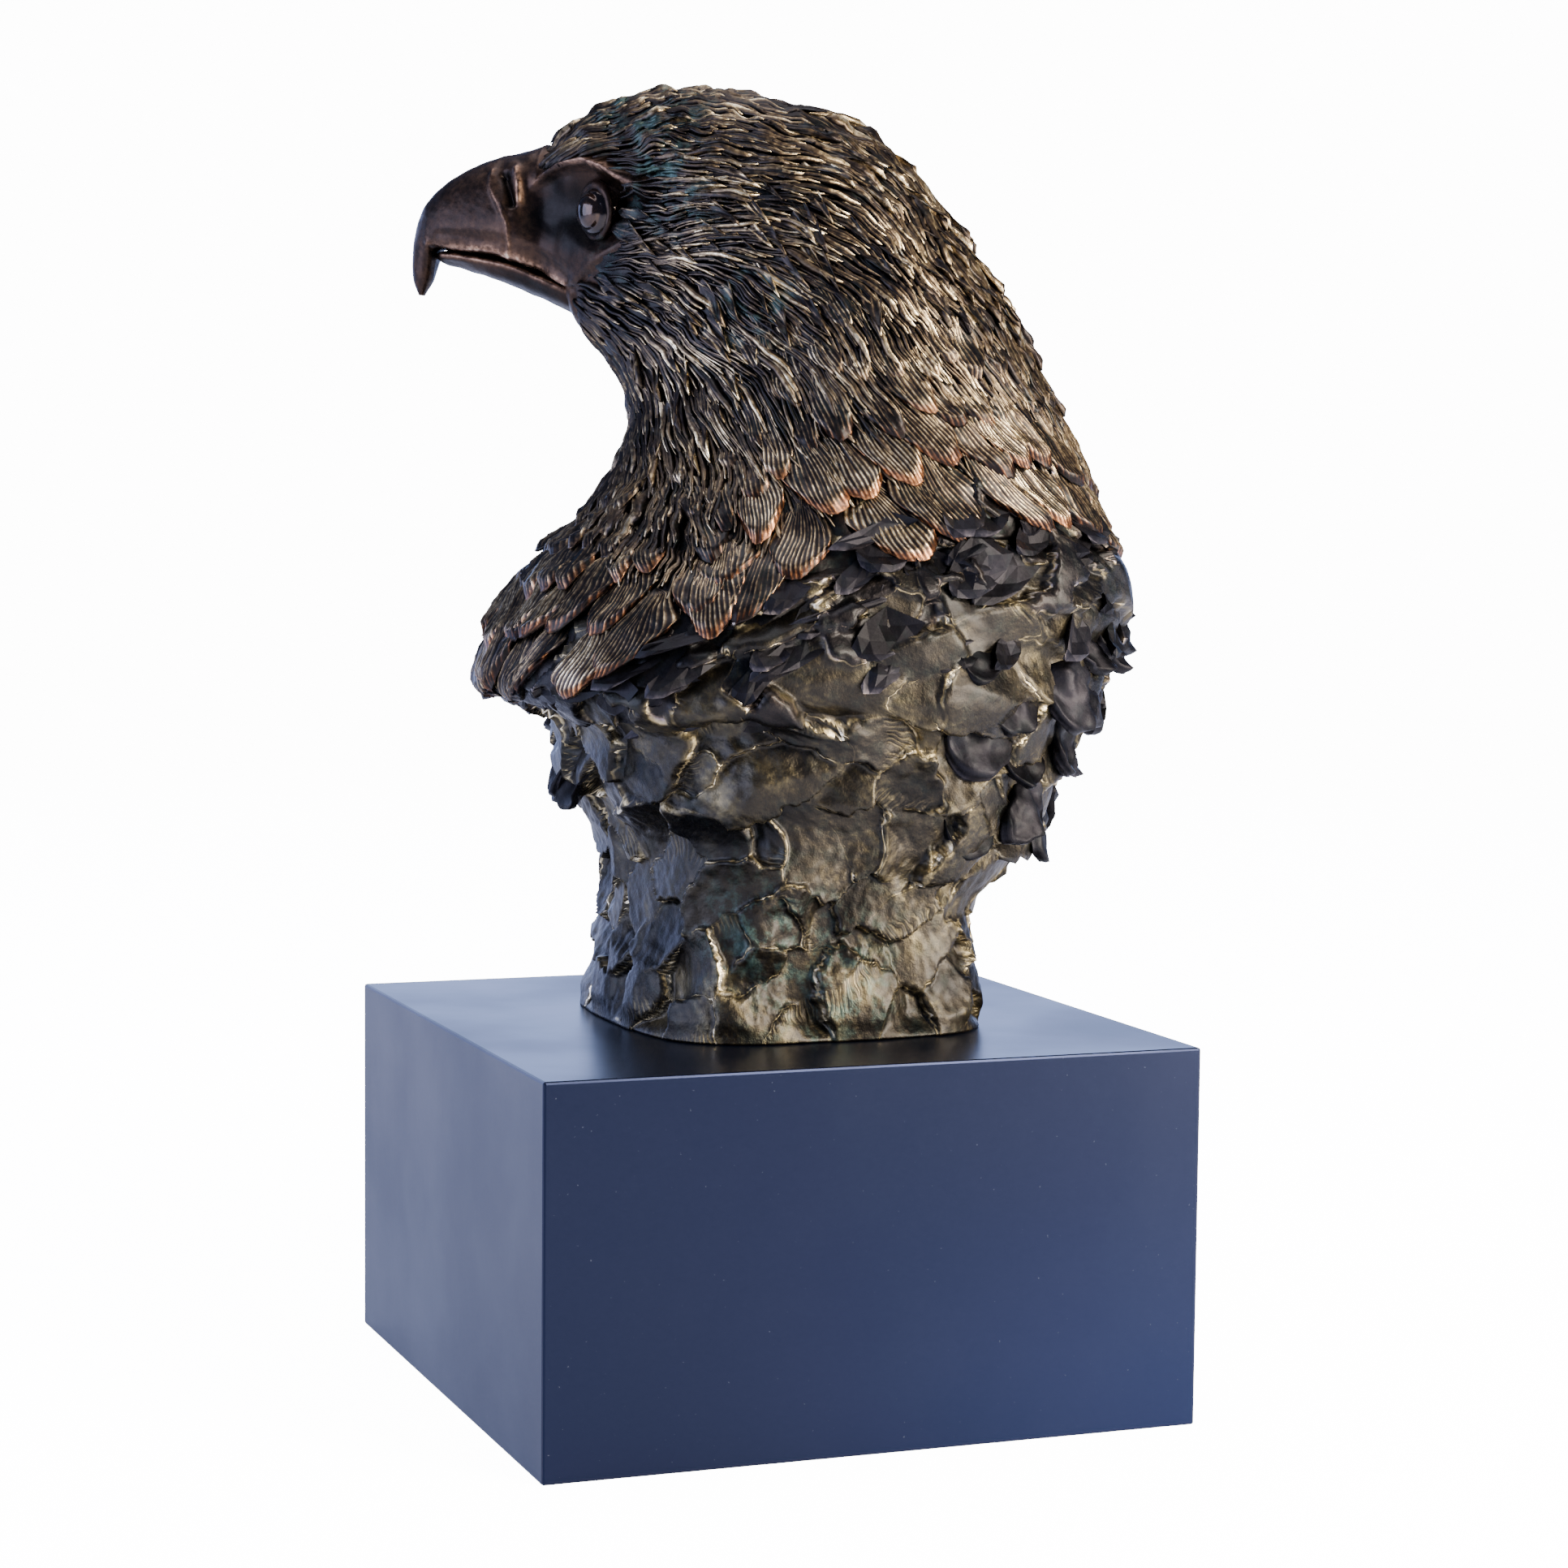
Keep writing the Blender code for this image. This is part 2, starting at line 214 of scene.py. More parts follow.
# places of verdigris: x, y and height in metres on the bust, and how far it spreads
VERDIGRIS = (
    (0.000, -0.025, 0.2765, 0.008),
    (-0.014, -0.022, 0.2895, 0.012),
    (-0.008, -0.038, 0.2580, 0.005),
    (0.008, -0.023, 0.2667, 0.006),
    (0.022, -0.010, 0.2443, 0.007),
    (0.046, 0.000, 0.0960, 0.013),
    (0.046, -0.020, 0.1080, 0.011),
)
GREEN_EVERYWHERE = 0.07


def verdigris_at(points):
    """How green each point may be: exp(-(distance / spread)^2) about each place, summed."""
    places = np.array(VERDIGRIS)
    away = np.linalg.norm(points[:, None, :] - places[None, :, :3], axis=-1) / places[:, 3]
    return np.clip(np.exp(-away ** 2).sum(axis=1) + GREEN_EVERYWHERE, 0.0, 1.0)


def add_piece(name, points, faces, smooth=True, **numbers):
    """A mesh object from points in metres and index arrays, with its point numbers."""
    mesh = bpy.data.meshes.new(name)
    mesh.vertices.add(len(points))
    mesh.vertices.foreach_set("co", np.ascontiguousarray(points, np.float32).ravel())
    corners = np.concatenate([face.ravel() for face in faces]).astype(np.int32)
    sizes = np.concatenate([np.full(len(face), face.shape[1]) for face in faces])
    mesh.loops.add(len(corners))
    mesh.loops.foreach_set("vertex_index", corners)
    mesh.polygons.add(len(sizes))
    starts = np.concatenate([[0], np.cumsum(sizes)[:-1]]).astype(np.int32)
    mesh.polygons.foreach_set("loop_start", starts)
    mesh.update(calc_edges=True)
    mesh.polygons.foreach_set("use_smooth", np.full(len(sizes), smooth))
    numbers["green"] = verdigris_at(points)
    for key, values in numbers.items():
        layer = mesh.attributes.new(key, "FLOAT", "POINT")
        layer.data.foreach_set("value", np.ascontiguousarray(values, np.float32).ravel())
    piece = bpy.data.objects.new(name, mesh)
    bpy.context.scene.collection.objects.link(piece)
    triangles = int((sizes - 2).sum())
    print(f"{name}: {triangles} triangles")
    return piece


def add_shell(name, grid, **numbers):
    """One closed shell from a grid (rings, around, 3) of drawn points, capped at both ends."""
    rings, around = grid.shape[:2]
    ends = np.stack([grid[0].mean(axis=0), grid[-1].mean(axis=0)])
    points = np.concatenate([grid.reshape(-1, 3), ends])
    full = {key: np.append(values.ravel(), [values[0].mean(), values[-1].mean()])
            for key, values in numbers.items()}
    return add_piece(name, to_world(points), shell_faces(1, rings, around), **full)


# %% [markdown]
# Bill and face
#
# On the real casting the bill, its waxy base and the bare skin before the eye are one smooth
# surface, so they are one shell here, from the hooked tip back into the crown. Details are
# heights added along the normal, each a formula of the place on the side of the head: a brow
# that stands out like an eave, a hollow for the eye, a nostril, and the lip's double line.

# %% The upper bill and the face
FACE_SLICES = (
    (81.6, 164.8, 82.9, 164.9, 1.0, 2.2, -0.1),
    (79.6, 168.6, 84.3, 169.4, 2.9, 2.3, -0.2),
    (78.6, 172.2, 83.9, 177.5, 4.2, 2.4, -0.25),
    (77.6, 175.3, 80.9, 185.9, 5.9, 2.5, -0.28),
    (72.5, 174.6, 74.0, 191.9, 8.3, 2.6, -0.28),
    (64.5, 173.4, 65.0, 195.9, 10.3, 2.6, -0.28),
    (56.7, 171.4, 57.0, 197.7, 11.7, 2.5, -0.22),
    (50.0, 168.3, 50.5, 199.8, 12.7, 2.4, -0.12),
    (45.5, 161.5, 43.5, 205.2, 15.0, 2.3, 0.0),
    (42.0, 155.5, 32.0, 208.9, 19.0, 2.3, 0.10),
    (36.3, 149.5, 12.0, 210.0, 26.2, 2.3, 0.12),
    (33.5, 145.0, -6.0, 207.0, 30.0, 2.3, 0.10),
)
# brow line from the bill back over the eye: forward, up, and how far it stands out
BROW = (
    (53.5, 188.9, 0.0),
    (50.0, 190.9, 1.5),
    (43.5, 192.6, 3.2),
    (36.5, 193.2, 4.4),
    (31.5, 191.4, 4.2),
    (26.5, 187.8, 3.0),
    (20.5, 185.6, 1.4),
    (14.5, 186.4, 0.0),
)
EYE = (36.4, 183.7)
EYE_OUT = 19.5
UNDER_FEATHERS = 1.1
# round hollows of the face: place (forward, up), reach (forward, up), depth and squareness;
# SHADE is no hollow but a patch of painted shade below the brow, its depth how much darker
SOCKET = ((34.2, 183.7), (9.4, 8.4), 4.7, 4.0)
LORE = ((49.0, 183.5), (6.0, 7.5), 2.9, 2.6)
CREASE = ((27.5, 184.5), (6.5, 3.6), 1.3, 2.0)
SHADE = ((43.0, 183.0), (10.5, 9.5), 1.0, 4.0)
# lines of the face: places (forward, up), width, and height, below 0 for a groove
FACE_LINES = {
    "nostril": (((59.5, 191.6), (58.2, 188.2), (57.3, 185.2)), 0.95, -2.0),
    "nostril rim": (((56.6, 193.0), (55.6, 189.4), (55.4, 185.6)), 0.90, 0.75),
    "fore rim": (((62.4, 191.4), (61.2, 187.6), (58.6, 184.0)), 0.80, 0.40),
    "cere": (((62.8, 193.0), (62.9, 189.5), (60.6, 185.0), (57.8, 179.8), (58.4, 171.5)), 0.55, 0.38),
    "lip": (((79.0, 176.6), (72.0, 175.6), (64.0, 175.2), (56.0, 173.2), (49.0, 169.6),
             (44.4, 166.6)), 0.85, 0.85),
    "groove": (((76.0, 178.6), (66.0, 177.6), (57.0, 176.0), (48.0, 171.6), (43.6, 168.4)), 1.10, -0.42),
    "gape": (((52.0, 170.0), (47.0, 167.0), (43.2, 165.6)), 0.80, -0.90),
}
# how bright the metal is along some of them, below 0 where it is darker, and how widely
RUBBED_LINES = {"lip": (0.80, 0.50), "nostril rim": (0.90, 0.45), "cere": (0.45, 0.30),
                "nostril": (0.95, -0.60)}
# where feathers give way to skin: behind the eye, at the mouth, at the bill and along the gape
SKIN_FROM = 27.0
MOUTH_FROM = 42.0
BILL_FROM = 50.0
GAPE_CORNER = (43.0, 164.5)
GAPE_SLOPE = 0.66


def bump(distance, width):
    """A soft ridge: exp(-(distance / width)^2)."""
    return np.exp(-(distance / width) ** 2)


def hollow(forward, up, place, reach, depth, square):
    """A round hollow: depth exp(-r^square), r being the distance from its place over its reach."""
    away = np.hypot((forward - place[0]) / reach[0], (up - place[1]) / reach[1])
    return depth * np.exp(-away ** square)


def to_line(forward, up, line, samples=90):
    """Distance from each place to a drawn line."""
    path = through(line, np.linspace(0.0, len(line) - 1.0, samples))[:, :2]
    gap = np.hypot(forward[..., None] - path[:, 0], up[..., None] - path[:, 1])
    return gap.min(axis=-1)


def brow_relief(points):
    """Height of the brow, how far each point is above its edge, and how far it stands out."""
    forward, up, left = np.moveaxis(points, -1, 0)
    side = smoothstep((np.abs(left) - 3.0) / 5.0)
    brow = np.array(BROW)[::-1]
    brow_up = np.interp(forward, brow[:, 0], brow[:, 1])
    brow_out = np.interp(forward, brow[:, 0], brow[:, 2])
    above = up - brow_up
    eave = np.where(above > 0.0, bump(above, 3.8), smoothstep(1.0 + above / 1.3))
    return eave * brow_out * side, above, brow_out


def bare_share(points):
    """1 on the bill, the mouth and the bare skin round the eye, 0 where feathers lie."""
    forward, up, left = np.moveaxis(points, -1, 0)
    _, above, _ = brow_relief(points)
    under_brow = smoothstep((1.3 - above) / 1.2)
    over_gape = smoothstep((up - GAPE_CORNER[1] - (GAPE_CORNER[0] - forward) * GAPE_SLOPE) / 2.0)
    ahead = smoothstep((forward - SKIN_FROM) / 2.5)
    beside = smoothstep((np.abs(left) - 4.0) / 2.0)
    bill = smoothstep((forward - BILL_FROM) / 1.5)
    mouth = smoothstep((forward - MOUTH_FROM) / 1.5) * (up < 190.0)
    return np.maximum(np.maximum(bill, mouth), under_brow * over_gape * ahead * beside)


def face_relief(points):
    """Height of the face's details, and how rubbed they are with painted shade below the brow, at drawn
    points.
    """
    forward, up, left = np.moveaxis(points, -1, 0)
    side = smoothstep((np.abs(left) - 3.0) / 5.0)
    eave, above, brow_out = brow_relief(points)
    away = {key: to_line(forward, up, line) for key, (line, _, _) in FACE_LINES.items()}
    height = 0.35 * smoothstep((61.0 - forward) / 2.0) * smoothstep((forward - BILL_FROM) / 4.0)
    for key, (_, width, high) in FACE_LINES.items():
        height = height + high * bump(away[key], width)
    height = height - hollow(forward, up, *SOCKET) * smoothstep(0.6 - above / 3.0)
    height = height - hollow(forward, up, *LORE) - hollow(forward, up, *CREASE)
    height = height + 0.45 * bump(above - 0.1, 0.6) * smoothstep(brow_out / 2.0)
    rub = 0.34 * bump(above - 0.3, 0.7) * smoothstep(brow_out)
    # Painted shade: the metal is made darker round the eye and in the lore, below the brow line.
    rub = rub - 0.26 * hollow(forward, up, *SHADE) * (above < 0.5)
    for key, (width, bright) in RUBBED_LINES.items():
        rub = rub + bright * bump(away[key], width)
    return eave + side * height, np.clip(0.22 + side * rub, 0.0, 1.0)


def build_face():
    """The shell from the bill's tip to the crown, with its relief."""
    place = np.linspace(0.0, len(FACE_SLICES) - 1.0, 230)[:, None]
    around = all_round(250)[None, :]
    plain = slice_points(FACE_SLICES, place, around)
    normal = slice_normals(FACE_SLICES, place, around)
    height, rub = face_relief(plain)
    height = height + 0.05 * ripple(plain, 8.0, 3) + 0.012 * ripple(plain, 1.8, 4)
    sink = UNDER_FEATHERS * (1.0 - bare_share(plain)) + 1.2 * smoothstep((place - 9.4) / 1.2)
    sink = sink + 2.0 * smoothstep((160.0 - plain[..., 1]) / 6.0) * smoothstep((place - 8.6) / 0.8)
    return add_shell("head_and_bill", plain + normal * (height - sink)[..., None], rub=rub)


head = build_face()

# %% The lower bill
JAW_LIP = ((76.0, 174.0), (66.0, 172.6), (57.0, 170.4), (50.0, 167.6), (43.0, 164.8))
JAW_SLICES = (
    (38.0, 158.5, 38.0, 168.0, 9.0, 2.0, 0.0),
    (44.5, 160.3, 44.5, 168.8, 10.0, 2.0, 0.0),
    (50.5, 163.0, 50.0, 170.6, 9.6, 2.1, 0.0),
    (57.0, 165.8, 56.5, 172.6, 8.7, 2.2, 0.0),
    (64.5, 168.6, 64.0, 174.2, 7.6, 2.2, 0.0),
    (71.0, 170.6, 71.0, 174.9, 6.2, 2.2, 0.0),
    (76.0, 172.0, 76.0, 175.2, 4.4, 2.2, 0.0),
    (78.6, 173.4, 78.4, 174.6, 1.8, 2.0, 0.0),
)


def build_jaw():
    """The lower bill: a shallow scoop with a raised lip line along each side, darker than the upper bill as
    painted shade.
    """
    place = np.linspace(0.0, len(JAW_SLICES) - 1.0, 90)[:, None]
    around = np.linspace(math.pi, -math.pi, 72, endpoint=False)[None, :]
    plain = slice_points(JAW_SLICES, place, around)
    normal = -slice_normals(JAW_SLICES, place, around)
    forward, up, left = np.moveaxis(plain, -1, 0)
    side = smoothstep((np.abs(left) - 2.0) / 3.0)
    lip_away = to_line(forward, up, JAW_LIP)
    height = side * (0.6 * bump(lip_away, 0.7) - 0.35 * bump(lip_away - 1.9, 0.9))
    height = height + 0.05 * ripple(plain, 5.0, 5)
    # Painted shade: the lower bill starts at 0.10 against the upper bill's 0.22, so it is darker under the
    # upper bill; the lip lines are rubbed bright.
    rub = 0.10 + 0.5 * side * bump(lip_away, 0.6)
    return add_shell("lower_bill", plain + normal * height[..., None], rub=rub)


jaw = build_jaw()

# %% [markdown]
# Eyes
#
# Each eye is a polished ball set deep under the brow, with a ring for the lid. It looks well
# forward, as an eagle's does. The ball is made of circles about the line of sight, with a
# groove round the iris and a low dome over it. The lid is a bent ring of clay round it.

# %% Eyeballs and lids
EYE_RADIUS = 6.4
EYE_AIM = math.radians(36.0)
IRIS_RADIUS = 4.1
LID_RADIUS = 6.2
LID_THICK = 0.85


def eye_frame(side):
    """Centre of an eye and its unit axes: line of sight, forward along the face, up."""
    centre = np.array([EYE[0] - 2.6, EYE[1] - 1.0, side * (EYE_OUT - EYE_RADIUS * 0.66)])
    sight = np.array([math.sin(EYE_AIM), -0.03, side * math.cos(EYE_AIM)])
    sight = sight / np.linalg.norm(sight)
    rise = np.array([0.0, 1.0, 0.0]) - sight * sight[1]
    rise = rise / np.linalg.norm(rise)
    return centre, sight, np.cross(rise, sight) * side, rise


def build_eye(side, name):
    """A ball whose radius is R - groove(r - iris) + dome(r), r being the way off the sight."""
    centre, sight, fore, rise = eye_frame(side)
    lean = np.linspace(0.04, math.pi - 0.04, 44)[:, None]
    around = np.linspace(0.0, WHOLE_TURN, 60, endpoint=False)[None, :] * side
    out = EYE_RADIUS * np.sin(lean)
    front = lean < math.pi / 2.0
    dome = 0.55 * np.sqrt(np.clip(1.0 - (out / IRIS_RADIUS) ** 2, 0.0, 1.0)) * front
    groove = 0.28 * bump(out - IRIS_RADIUS, 0.32) * front
    radius = EYE_RADIUS + dome - groove
    ring = (np.cos(around)[..., None] * fore + np.sin(around)[..., None] * rise) * side
    ball = radius[..., None] * (np.cos(lean)[..., None] * sight + np.sin(lean)[..., None] * ring)
    rub = 0.16 * front * (out < IRIS_RADIUS) * (out > 1.5) + 0.0 * around
    return add_shell(name, centre + ball, rub=rub, tone=0.0 * rub)


def build_lid(side, name):
    """A ring round the eye, thicker above: a circle carried round an oval."""
    centre, sight, fore, rise = eye_frame(side)
    turn = np.linspace(0.0, WHOLE_TURN, 120, endpoint=False)[:, None]
    around = np.linspace(0.0, WHOLE_TURN, 16, endpoint=False)[None, :] * side
    thick = LID_THICK * (1.0 + 0.5 * np.clip(np.sin(turn), 0.0, 1.0) + 0.08 * np.sin(turn * 9.0))
    reach = LID_RADIUS - 0.45 + thick * np.cos(around)
    high = 2.5 + thick * np.sin(around) - 0.5 * np.cos(turn)
    across = np.cos(turn) * reach * 0.96
    upward = np.sin(turn) * reach * 1.02
    grid = centre + across[..., None] * fore + upward[..., None] * rise + high[..., None] * sight
    rings, points_round = grid.shape[:2]
    ring = np.arange(rings)[:, None]
    here = ring * points_round
    after = (ring + 1) % rings * points_round
    step = np.arange(points_round)[None, :]
    following = (step + 1) % points_round
    quads = np.stack([here + step, here + following, after + following, after + step], axis=-1)
    quads = quads.reshape(-1, 4)
    rub = 0.04 + 0.08 * bump(around - math.pi / 2 * side, 0.9) + 0.0 * turn
    return add_piece(name, to_world(grid.reshape(-1, 3)), [quads], rub=rub, tone=0.0 * rub)


eyes = [build_eye(1, "eye_left"), build_eye(-1, "eye_right")]
lids = [build_lid(1, "lid_left"), build_lid(-1, "lid_right")]

# %% [markdown]
# Where feathers lie
#
# Feathers run from the face back over the crown and down the neck to the hem, which hangs
# low on the chest, rises at the shoulder and drops again behind. A feather is placed by how
# far down its column it ends, so every column of the neck is first measured: the running
# length of the surface at each angle. That also lets a feather be drawn flat, in millimetres
# down and across, and then laid on the curved neck.

# %% Measuring the columns of the neck
FIRST_ROW = 0.12
HEM_FRONT = 8.25
HEM_RISE = 2.1
HEM_RISE_FROM = math.radians(25.0)
HEM_RISE_TO = math.radians(120.0)
HEM_DROP = 1.2
HEM_DROP_FROM = math.radians(145.0)
COLUMNS_MEASURED = 720
STEPS_MEASURED = 900
RING = all_round(72)
SMALL_TURN = 0.02
LEAST_GIRTH = 7.0
CROWN_LUMPS = 1.0
CROWN_FROM = 188.0


def hem(around):
    """Slice number of the feathers' lower edge at each angle."""
    away = np.abs(from_chest(around))
    rise = smoothstep((away - HEM_RISE_FROM) / (HEM_RISE_TO - HEM_RISE_FROM))
    drop = smoothstep((away - HEM_DROP_FROM) / (math.pi - HEM_DROP_FROM))
    return HEM_FRONT - HEM_RISE * rise + HEM_DROP * drop


column_places = np.linspace(0.0, FOOT, STEPS_MEASURED)
measured = slice_points(NECK_SLICES, column_places[None, :], all_round(COLUMNS_MEASURED)[:, None])
steps_down = np.linalg.norm(np.diff(measured, axis=1), axis=-1)
column_lengths = np.pad(np.cumsum(steps_down, axis=1), ((0, 0), (1, 0)))
print("longest column", round(float(column_lengths[:, -1].max()), 1), "mm of the drawing")


def column_of(around):
    """Number of the measured column nearest to each angle."""
    share = np.mod(around + math.pi, WHOLE_TURN) / WHOLE_TURN
    return np.round(share * COLUMNS_MEASURED).astype(int) % COLUMNS_MEASURED


def length_at(place, around):
    """Running length down the column at one place for each angle."""
    return np.array([np.interp(one, column_places, column_lengths[c])
                     for one, c in zip(place, column_of(around))])


def place_at(length, around):
    """Slice numbers at running lengths (rows) down the columns of the given angles."""
    return np.stack([np.interp(row, column_lengths[c], column_places)
                     for row, c in zip(length, column_of(around))])


def girth_at(place, around):
    """Millimetres round the neck for one radian at each place, never so few that it pinches."""
    after = slice_points(NECK_SLICES, place, around + SMALL_TURN)
    before = slice_points(NECK_SLICES, place, around - SMALL_TURN)
    return np.maximum(np.linalg.norm(after - before, axis=-1) / (2.0 * SMALL_TURN), LEAST_GIRTH)


def brick_row(lengths, pitch, row, shake, chance):
    """Shaken angles of a row laid like bricks, at running lengths given for the ring of angles."""
    line = place_at(lengths[:, None], RING)[:, 0]
    count = int(girth_at(line, RING).mean() * WHOLE_TURN / pitch)
    share = (np.arange(count) + 0.5 * (row % 2) + chance.uniform(-shake, shake, count)) / count
    return share * WHOLE_TURN - math.pi


def lay_on_neck(around, start, down, across, height, rough, seed=53):
    """Drawn points of little surfaces laid on the neck.

    For each surface, down and across are millimetres along and beside its column from the
    start length, and height is millimetres off the neck along its normal. Roughness adds
    smooth noise to the height, and over the eye the brow lifts everything with it.
    """
    flat = down.reshape(len(down), -1)
    place = place_at(start[:, None] + flat, around).reshape(down.shape)
    middle = around.reshape(-1, *([1] * (down.ndim - 1)))
    angle = middle + across / girth_at(place, middle)
    points = slice_points(NECK_SLICES, place, angle)
    brow, _, _ = brow_relief(points)
    crown = smoothstep((points[..., 1] - CROWN_FROM) / 14.0)
    lumps = rough * (1.0 + CROWN_LUMPS * crown) * ripple(points, 9.0, seed)
    return points + slice_normals(NECK_SLICES, place, angle) * (height + lumps + brow)[..., None]


# %% [markdown]
# The neck under the feathers
#
# Between feathers the eye looks into dark gaps. A plain combed core a little under the
# surface closes them, so no gap shows through to the far side.

# %% The core of head and neck
CORE_START = 1.3
CORE_SINK = 1.0
CORE_SINK_AT_HEM = 2.4
CORE_SINK_AT_EYE = 5.0


def build_core():
    """The neck's plain form, sunk a little, with soft combed waves along the flow."""
    around = all_round(220)[None, :]
    share = np.linspace(0.0, 1.0, 90)[:, None]
    place = CORE_START + (hem(around) - CORE_START) * share
    plain = slice_points(NECK_SLICES, place, around)
    normal = slice_normals(NECK_SLICES, place, around)
    comb = 0.25 * np.sin(around * 65.0 + 1.2 * ripple(plain, 18.0, 11))
    sink = CORE_SINK + (CORE_SINK_AT_HEM - CORE_SINK) * smoothstep((share - 0.35) / 0.5)
    from_eye = np.hypot((plain[..., 0] - EYE[0] + 4.0) / 10.0, (plain[..., 1] - EYE[1]) / 9.0)
    sink = sink + CORE_SINK_AT_EYE * np.exp(-from_eye ** 4)
    height = comb - sink + 0.25 * ripple(plain, 9.0, 12)
    dark = 0.0 * height
    return add_shell("neck_core", plain + normal * height[..., None], rub=dark, tone=dark)


core = build_core()

# %% [markdown]
# Strands
#
# On the head the modeller drew the down with a needle: thousands of thin wavy ridges, each
# like a long drop lying on the next. A strand is a closed sliver with three sides, a bright
# crest and two dark edges. Neighbours must bend together or the head would look like straw,
# so their sideways waves come from one smooth noise over the whole surface. On the cheeks the
# down sweeps back towards the nape before it falls, so every strand there leans.

# %% Strands of the head and neck
STRAND_RINGS = 9
STRAND_WIDE = 1.3
STRAND_HIGH = 0.62
STRAND_WAVE = 0.42
STRAND_DRIFT = 1.6
PLUMP_SHARE = 0.06
PLUMP = 1.9
UNDER_FANS = 1.5
FANS_FROM = 30.0
SHORTEST = 2.5
SWEPT_BACK = math.radians(34.0)
SWEPT_MIDDLE = np.array([0.0, 172.0])
SWEPT_REACH = np.array([45.0, 30.0])
# millimetres below the face where a kind begins and ends, its row step, pitch and length, and
# how far above the hem it stops
HEAD_STRANDS = dict(first=0.0, last=50.0, step=4.6, pitch=1.02, long=10.5, stop=45.0)
NECK_STRANDS = dict(first=48.0, last=190.0, step=6.4, pitch=1.10, long=15.0, stop=13.0)


def strand_rows(style, seed):
    """Angle, tip length, own length and height above the hem of each strand: shaken rows."""
    chance = np.random.default_rng(seed)
    ring_begin = length_at(np.full(RING.shape, FIRST_ROW), RING)
    rows = []
    for row, below in enumerate(np.arange(style["first"], style["last"], style["step"])):
        around = brick_row(ring_begin + below, style["pitch"], row, 0.4, chance)
        rows.append(np.stack([around, np.full(around.shape, below)]))
    around, below = np.concatenate(rows, axis=1)
    begin = length_at(np.full(around.shape, FIRST_ROW), around)
    tip = begin + below + style["step"] * chance.uniform(0.0, 1.2, below.shape)
    long_ = style["long"] * chance.uniform(0.7, 1.3, below.shape)
    above_hem = length_at(hem(around), around) - tip
    inside = above_hem > style["stop"]
    return around[inside], tip[inside], long_[inside], above_hem[inside], chance


def swept_back(points, around):
    """Lean of the down on the cheeks: its tips point back towards the nape on both sides."""
    away = from_chest(around)
    reach = np.abs(away)
    beside = np.sign(away) * smoothstep((reach - 0.5) / 0.8) * smoothstep((2.9 - reach) / 0.7)
    off = (points[:, :2] - SWEPT_MIDDLE) / SWEPT_REACH
    return SWEPT_BACK * beside * np.exp(-(off ** 2).sum(axis=1))


def build_strands(name, style, seed):
    """Three-sided slivers, thickest at v = 0.6 and rounded to both ends.

    Half width: w/2 sqrt(1 - ((v - 0.6) / reach)^2). Crest: base + high w times the same root.
    """
    around, tip, long_, above_hem, chance = strand_rows(style, seed)
    start = np.maximum(tip - long_, 0.0)
    long_ = tip - start
    keep = long_ > SHORTEST
    around, start, long_, above_hem = around[keep], start[keep], long_[keep], above_hem[keep]
    count = len(around)
    plump = np.where(chance.uniform(size=count) < PLUMP_SHARE, PLUMP, 1.0)[:, None]
    wide = style["pitch"] * STRAND_WIDE * chance.uniform(0.7, 1.25, (count, 1)) * plump
    v = np.linspace(0.03, 0.98, STRAND_RINGS)[None, :]
    belly = np.clip(1.0 - ((v - 0.6) / np.where(v < 0.6, 0.6, 0.4)) ** 2, 0.02, 1.0) ** 0.4
    down = v * long_[:, None]
    plain = slice_points(NECK_SLICES, place_at(start[:, None] + down, around), around[:, None])
    wave = STRAND_WAVE * ripple(plain, 8.5, 61) + STRAND_DRIFT * ripple(plain, 28.0, 62)
    own = chance.normal(0.0, 0.06, (count, 1)) * down
    lean = swept_back(plain[:, STRAND_RINGS // 2], around)[:, None]
    across = wave + own + (down - 0.5 * long_[:, None]) * np.tan(lean)
    base = chance.normal(-0.95, 0.16, (count, 1)) + 0.7 * v ** 1.3
    base = base - UNDER_FANS * smoothstep((FANS_FROM - above_hem[:, None]) / 8.0)
    crest = base + STRAND_HIGH * wide * belly
    half = 0.5 * wide * belly
    edge = base - 0.1
    ends_down = np.stack([np.zeros(count), long_], axis=1)
    ends_across = across[:, [0, -1]]
    ends_high = base[:, [0, -1]] + np.array([[-0.2, 0.1]])
    sides = ((down, down, down), (across - half, across, across + half), (edge, crest, edge))
    drawn = [np.concatenate([np.stack(three, axis=-1).reshape(count, -1), ends], axis=1)
             for three, ends in zip(sides, (ends_down, ends_across, ends_high))]
    points = lay_on_neck(around, start, *drawn, rough=0.30)
    middles = points[:, 1:3 * STRAND_RINGS:6]
    keep = bare_share(middles).max(axis=1) < 0.4
    bright = chance.uniform(0.0, 1.0, (count, 1)) ** 1.3
    worn = (0.37 + 0.5 * v ** 2) * (0.6 + 0.8 * bright) * np.sqrt(plump)
    # Strands within about 40 mm of the eye are made darker, down to 0.68 of their value at 14 mm.
    from_eye = np.linalg.norm(middles[:, -1, :2] - np.array(EYE), axis=-1)[:, None]
    worn = np.clip(worn * (0.68 + 0.32 * smoothstep((from_eye - 14.0) / 26.0)), 0.0, 1.0)
    dark = 0.0 * worn
    rub = np.stack([dark, worn, dark], axis=-1).reshape(count, -1)
    rub = np.concatenate([rub, dark[:, :1], 0.7 * worn[:, -1:]], axis=1)
    tone = np.repeat(chance.uniform(0.0, 1.0, (count, 1)), rub.shape[1], axis=1)
    faces = shell_faces(int(keep.sum()), STRAND_RINGS, 3)
    return add_piece(name, to_world(points[keep].reshape(-1, 3)), faces, rub=rub[keep], tone=tone[keep])


head_strands = build_strands("head_strands", HEAD_STRANDS, 20)
neck_strands = build_strands("neck_strands", NECK_STRANDS, 19)

